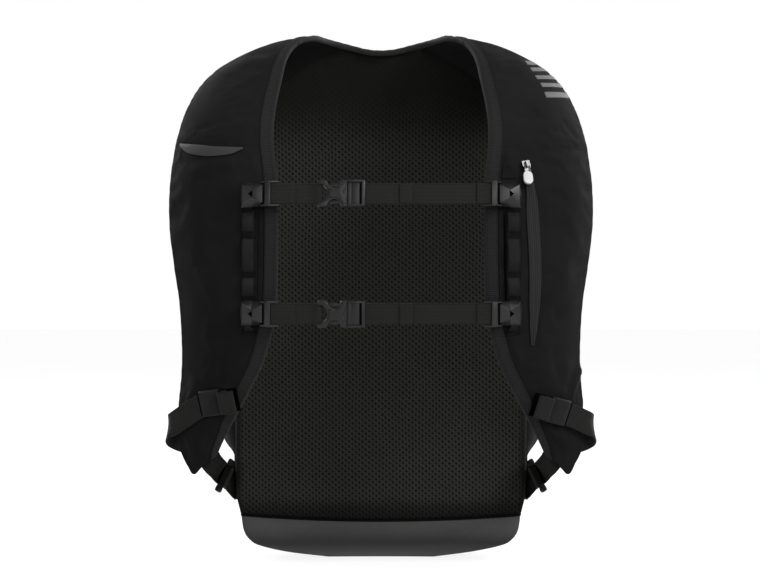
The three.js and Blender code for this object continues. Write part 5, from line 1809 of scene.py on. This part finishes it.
def keeper_loop(side, sign):
    """The elastic loop round a stowed strap."""
    centre, run, normal = keeper_frame(side)
    across = np.cross(run, normal)
    deep = WEBBING / 2 + KEEPER_ROOM
    x, y = LOWER_WIDTH / 2 + KEEPER_ROOM - KEEPER_CORNER, deep - KEEPER_CORNER
    loop = []
    for quarter, (a, b) in enumerate(((x, y), (-x, y), (-x, -y), (x, -y))):
        loop += arc(a, b, KEEPER_CORNER, 90 * quarter, 90 * quarter + 90, 6)
    loop = np.array(loop + loop[:1])
    around = np.linspace(0, lengths(loop)[-1], 73)
    loop, = resample(loop, around)
    out = unit(grouped(np.gradient(loop[:, 1]), -np.gradient(loop[:, 0])))
    w, share = rim_samples(KEEPER_WIDTH, 0.45, 16)
    puff = 1.6 * (1 - (2 * w / KEEPER_WIDTH - 1) ** 4)
    w = w - 12.5

    def layer(grow):
        flat = loop[:, None] + out[:, None] * (grow * share)[None, :, None]
        flat[..., 1] += np.clip(loop[:, 1] / deep, 0, 1)[:, None] * puff
        return centre + flat[..., :1] * across + flat[..., 1:] * normal + w[:, None] * run

    grid = np.concatenate([layer(0.5), layer(-0.5)[:, -2:0:-1]], 1) * vec(sign, 1, 1)
    uv = grouped(around[:, None], np.concatenate([w, w[-2:0:-1], w[:1]]))
    name = f"tail_keeper_{side}"
    make(f"{name}_loop", closed_tube(grid[:-1], uv, ring=True), ELASTIC, [name])


for side, sign in SIDES.items():
    stowed_end(side, sign)
    keeper_loop(side, sign)


# Pocket tab on the left panel: its top and foot edges in the photograph
TAB_TOP = ((183.0, 144.6), (194.0, 145.4), (205.0, 146.4), (213.8, 147.5), (228.0, 148.2), (243.8, 148.9))
TAB_FOOT = (
    (183.4, 148.6), (190.0, 153.9), (200.0, 156.2), (210.0, 157.2), (221.0, 156.6), (232.5, 155.0),
    (243.8, 150.2),
)
TAB_PIXEL = 0.95  # millimetres of cloth a pixel


def pocket_tab():
    across, across_share = rim_samples(1.0, TAPE / 2 / 57, 44)
    down, down_share = rim_samples(1.0, TAPE / 2 / 10, 10)
    places = lerp(spline(TAB_TOP, across)[None], spline(TAB_FOOT, across)[None], down[:, None, None])
    s, v = seen_pixel(2 * PHOTO_MIDDLE[0] - places[..., 0], places[..., 1])
    mid, n = PANELS["left"].lay(s, v, 1.0 + 0.5 * np.sin(math.pi * down)[:, None])
    proud = n * (TAPE / 2 * across_share[None] * down_share[:, None])[..., None]
    shape = closed_sheet(mid + proud, mid - proud, places * TAB_PIXEL)
    make("pocket_tab_cloth", shape, TAB, ["pocket_tab"])


pocket_tab()


# Pocket zip on the right panel, its slider and pull
# Share of the zip's length, and the tape's width there
ZIP_WIDTHS = (
    (0, 4.6), (0.08, 6.2), (0.16, 9.2), (0.24, 11.8), (0.32, 13.2),
    (0.5, 13.4), (0.68, 12.6), (0.8, 11.0), (0.9, 8.0), (1, 3.6),
)


def pocket_zip():
    line = spline(ZIP_LINE, np.linspace(0, 1, 260))
    path, up = PANELS["right"].lay(*seen_at(line[:, 0], line[:, 1]), 1.0)

    def wide(t):
        return np.interp(t, *np.transpose(ZIP_WIDTHS))

    def lips(u, along, total):
        share = u / wide(along / total)
        ridge = 0.5 * hump(np.abs(share) - 0.2, 0.12) + 0.35 * hump(share - 0.44, 0.07)
        return ridge - 0.2 * hump(share, 0.05)

    band("pocket_zip_tape", path, up, wide, TAPE, ZIP, ["pocket_zip"], 1.4, 30, lips)
    side = unit(np.cross(up, unit(np.gradient(path, axis=0))))
    away = side * wide(lengths(path) / lengths(path)[-1])[:, None]
    lines = [(path + away * k + up * 0.62, up) for k in (-0.4, 0.34)]
    stitches("pocket_zip_thread", lines, THREAD, pitch=2.8, length=2.0, width=0.5, height=0.3)


pocket_zip()


def dress(node, look, bevel):
    """A CAD solid that stays, with softened edges and a finish of its own."""
    obj = NODES[node]
    obj.data.materials.clear()
    obj.data.materials.append(look)
    edge = obj.modifiers.new("edges", "BEVEL")
    edge.width = bevel * MM
    edge.segments = 2
    edge.limit_method = "ANGLE"
    edge.angle_limit = math.radians(35)


dress("zip_slider", METAL, 0.35)
dress("main_zip_slider", METAL, 0.5)


# The pull: half of its wire across and down from the hinge, and its leans off the panel and in its plane
PULL_WIRE = ((3.0, -7.6), (2.95, -5.4), (2.75, -3.4), (2.3, -1.2), (1.6, -0.2))
PULL_OFF_PANEL = math.radians(6)
PULL_IN_PLANE = math.radians(13)
SLIDER_SHARE = 0.05  # of the zip's line, down to the slider


def turned_pair(a, b, angle):
    """Two directions at right angles, turned in their plane."""
    return a * math.cos(angle) - b * math.sin(angle), a * math.sin(angle) + b * math.cos(angle)


def zip_pull():
    """The pull's grip and the wire that hangs it on the slider's arch."""
    joint = frame["joints"][0]
    hinge, across = vec(*joint["pos_m"]) / MM, -vec(*joint["axis"])
    inward = -harness_normal(*seen_at(*spline(ZIP_LINE, SLIDER_SHARE)))
    inward, up = turned_pair(inward, np.cross(across, inward), PULL_OFF_PANEL)
    across, up = turned_pair(across, up, PULL_IN_PLANE)

    def place(p):
        return hinge + np.asarray(p) @ np.array([across, inward, up])

    made = Moulding()
    ends = ((-11.2, 0.1), (-16.0, math.pi + 0.1))
    turns = [(z, a) for z, start in ends for a in np.linspace(start, start + math.pi - 0.2, 11)]
    made.prism([(4.6 * math.cos(a), z + 4.4 * math.sin(a)) for z, a in turns], -1.4, 1.4, 0.85, 4)
    made.piece("zip_pull_grip", place, PULL, ["zip_pull"], body="pull", sharp=50)
    half = [(x, 0, z) for x, z in PULL_WIRE]
    wire = [(-x, y, z) for x, y, z in half] + [(0, 0, 0.05)] + half[::-1]
    wire = place(spline(wire, np.linspace(0, 1, 60)))
    tube("zip_pull_wire", wire, 0.5, METAL, sides=10, body="pull")


zip_pull()


# Printed bars on the right shoulder: the inner end of each in the photograph, top and bottom corner
BARS = (
    (522.8, 63.5, 526.3, 67.5),
    (528.1, 70.1, 530.8, 74.1),
    (532.6, 77.7, 535.7, 81.9),
    (537.9, 85.2, 540.6, 89.7),
    (541.9, 94.1, 544.6, 100.2),
)
BAR_LOWEST = 0.6  # the furthest place along the panel that a bar can reach


def conformal(name, panel, s, v, look):
    """A thin print that lies on a panel, over a grid of places on it."""
    mid, n = panel.lay(s, v, 0.12)
    half = np.full(s.shape, 0.1)
    half[[0, -1]] = 0
    half[:, [0, -1]] = 0
    rows, columns = s.shape
    uv = grouped(lengths(mid[rows // 2])[None], lengths(mid[:, columns // 2])[:, None])
    proud = n * half[..., None]
    make(name, closed_sheet(mid + proud, mid - proud, uv), look)


def printed_bars():
    look_s, look_v = np.linspace(0, 0.99, 100), np.linspace(0.02, BAR_LOWEST, 300)
    highest = photo_row(look_s[:, None], look_v[None]).min(1)
    for k, (x0, y0, x1, y1) in enumerate(BARS):
        (s0, s1), _ = seen_pixel(vec(x0, x1), vec(y0, y1))
        places = []
        for share in np.linspace(0, 1, 6):
            row = lerp(y0, y1, share)
            s = np.linspace(lerp(s0, s1, share), look_s[highest < row - 0.25].max(), 28)
            low = look_v[np.argmin(photo_row(s[:, None], look_v[None]), axis=1)]
            high = np.full(28, BAR_LOWEST)
            for _ in range(40):
                mid = (low + high) / 2
                under = photo_row(s, mid) > row
                low, high = np.where(under, low, mid), np.where(under, mid, high)
            places.append((s, low))
        s, v = np.array(places).swapaxes(0, 1)
        conformal(f"shoulder_bar_{k + 1}", PANELS["right"], s, v, STRIPE)


printed_bars()

# Seams, the slit's painted shadow, and the gussets and pleat, darkened with painted shade, beside the narrow
# webbing
SEAM_ROWS = {"left": (1.8,), "right": (1.8, -2.0)}


def pocket_seams():
    for side, panel in PANELS.items():
        x0, z0, x1, z1 = POCKET_SEAM[side]
        x, z = np.linspace(x0, x1, 90), np.linspace(z0, z1, 90)
        lines = [panel.lay(*seen_at(x, z + shift), 0.02) for shift in SEAM_ROWS[side]]
        name = f"pocket_seam_{side}_thread"
        stitches(name, lines, SEAM_THREAD, pitch=3.0, length=2.1, width=0.55, height=0.3)


def pocket_slit_shadow():
    # Painted shadow: a thin dark strip along the pocket's opening beside the narrow webbing
    x, z = np.linspace(116.6, 118.0, 90), np.linspace(-176.0, -263.0, 90)
    path, up = PANELS["right"].lay(*seen_at(x, z), 0.25)

    def wide(t):
        return 0.5 + 1.3 * np.sin(math.pi * np.clip(t, 0.02, 0.98)) ** 0.5

    band("pocket_slit_shadow", path, up, wide, 0.5, SHADOW_CLOTH, step=2.0, across=4)


def pocket_gussets():
    # Thin prints of gusset and pleat cloth a little darker than the panel: real gussets, with their darker
    # tone painted shade of the recess
    t, u = np.meshgrid(np.linspace(0, 1, 60), np.linspace(0, 1, 8), indexing="ij")
    s, v = seen_at(lerp(110.8, 116.4, u) + t, lerp(-172.0, -266.0, t))
    for side, panel in PANELS.items():
        conformal(f"pocket_gusset_{side}", panel, s, v, SHADED_GUSSET)
    t, u = np.meshgrid(np.linspace(0.02, 1, 24), np.linspace(0, 1, 10), indexing="ij")
    s, v = seen_pixel(lerp(504.5, lerp(500.5, 515.5, u), t), lerp(152.0, 180.0, t))
    conformal("pocket_pleat", PANELS["right"], s, v, SHADED_GUSSET)


pocket_seams()
pocket_slit_shadow()
pocket_gussets()
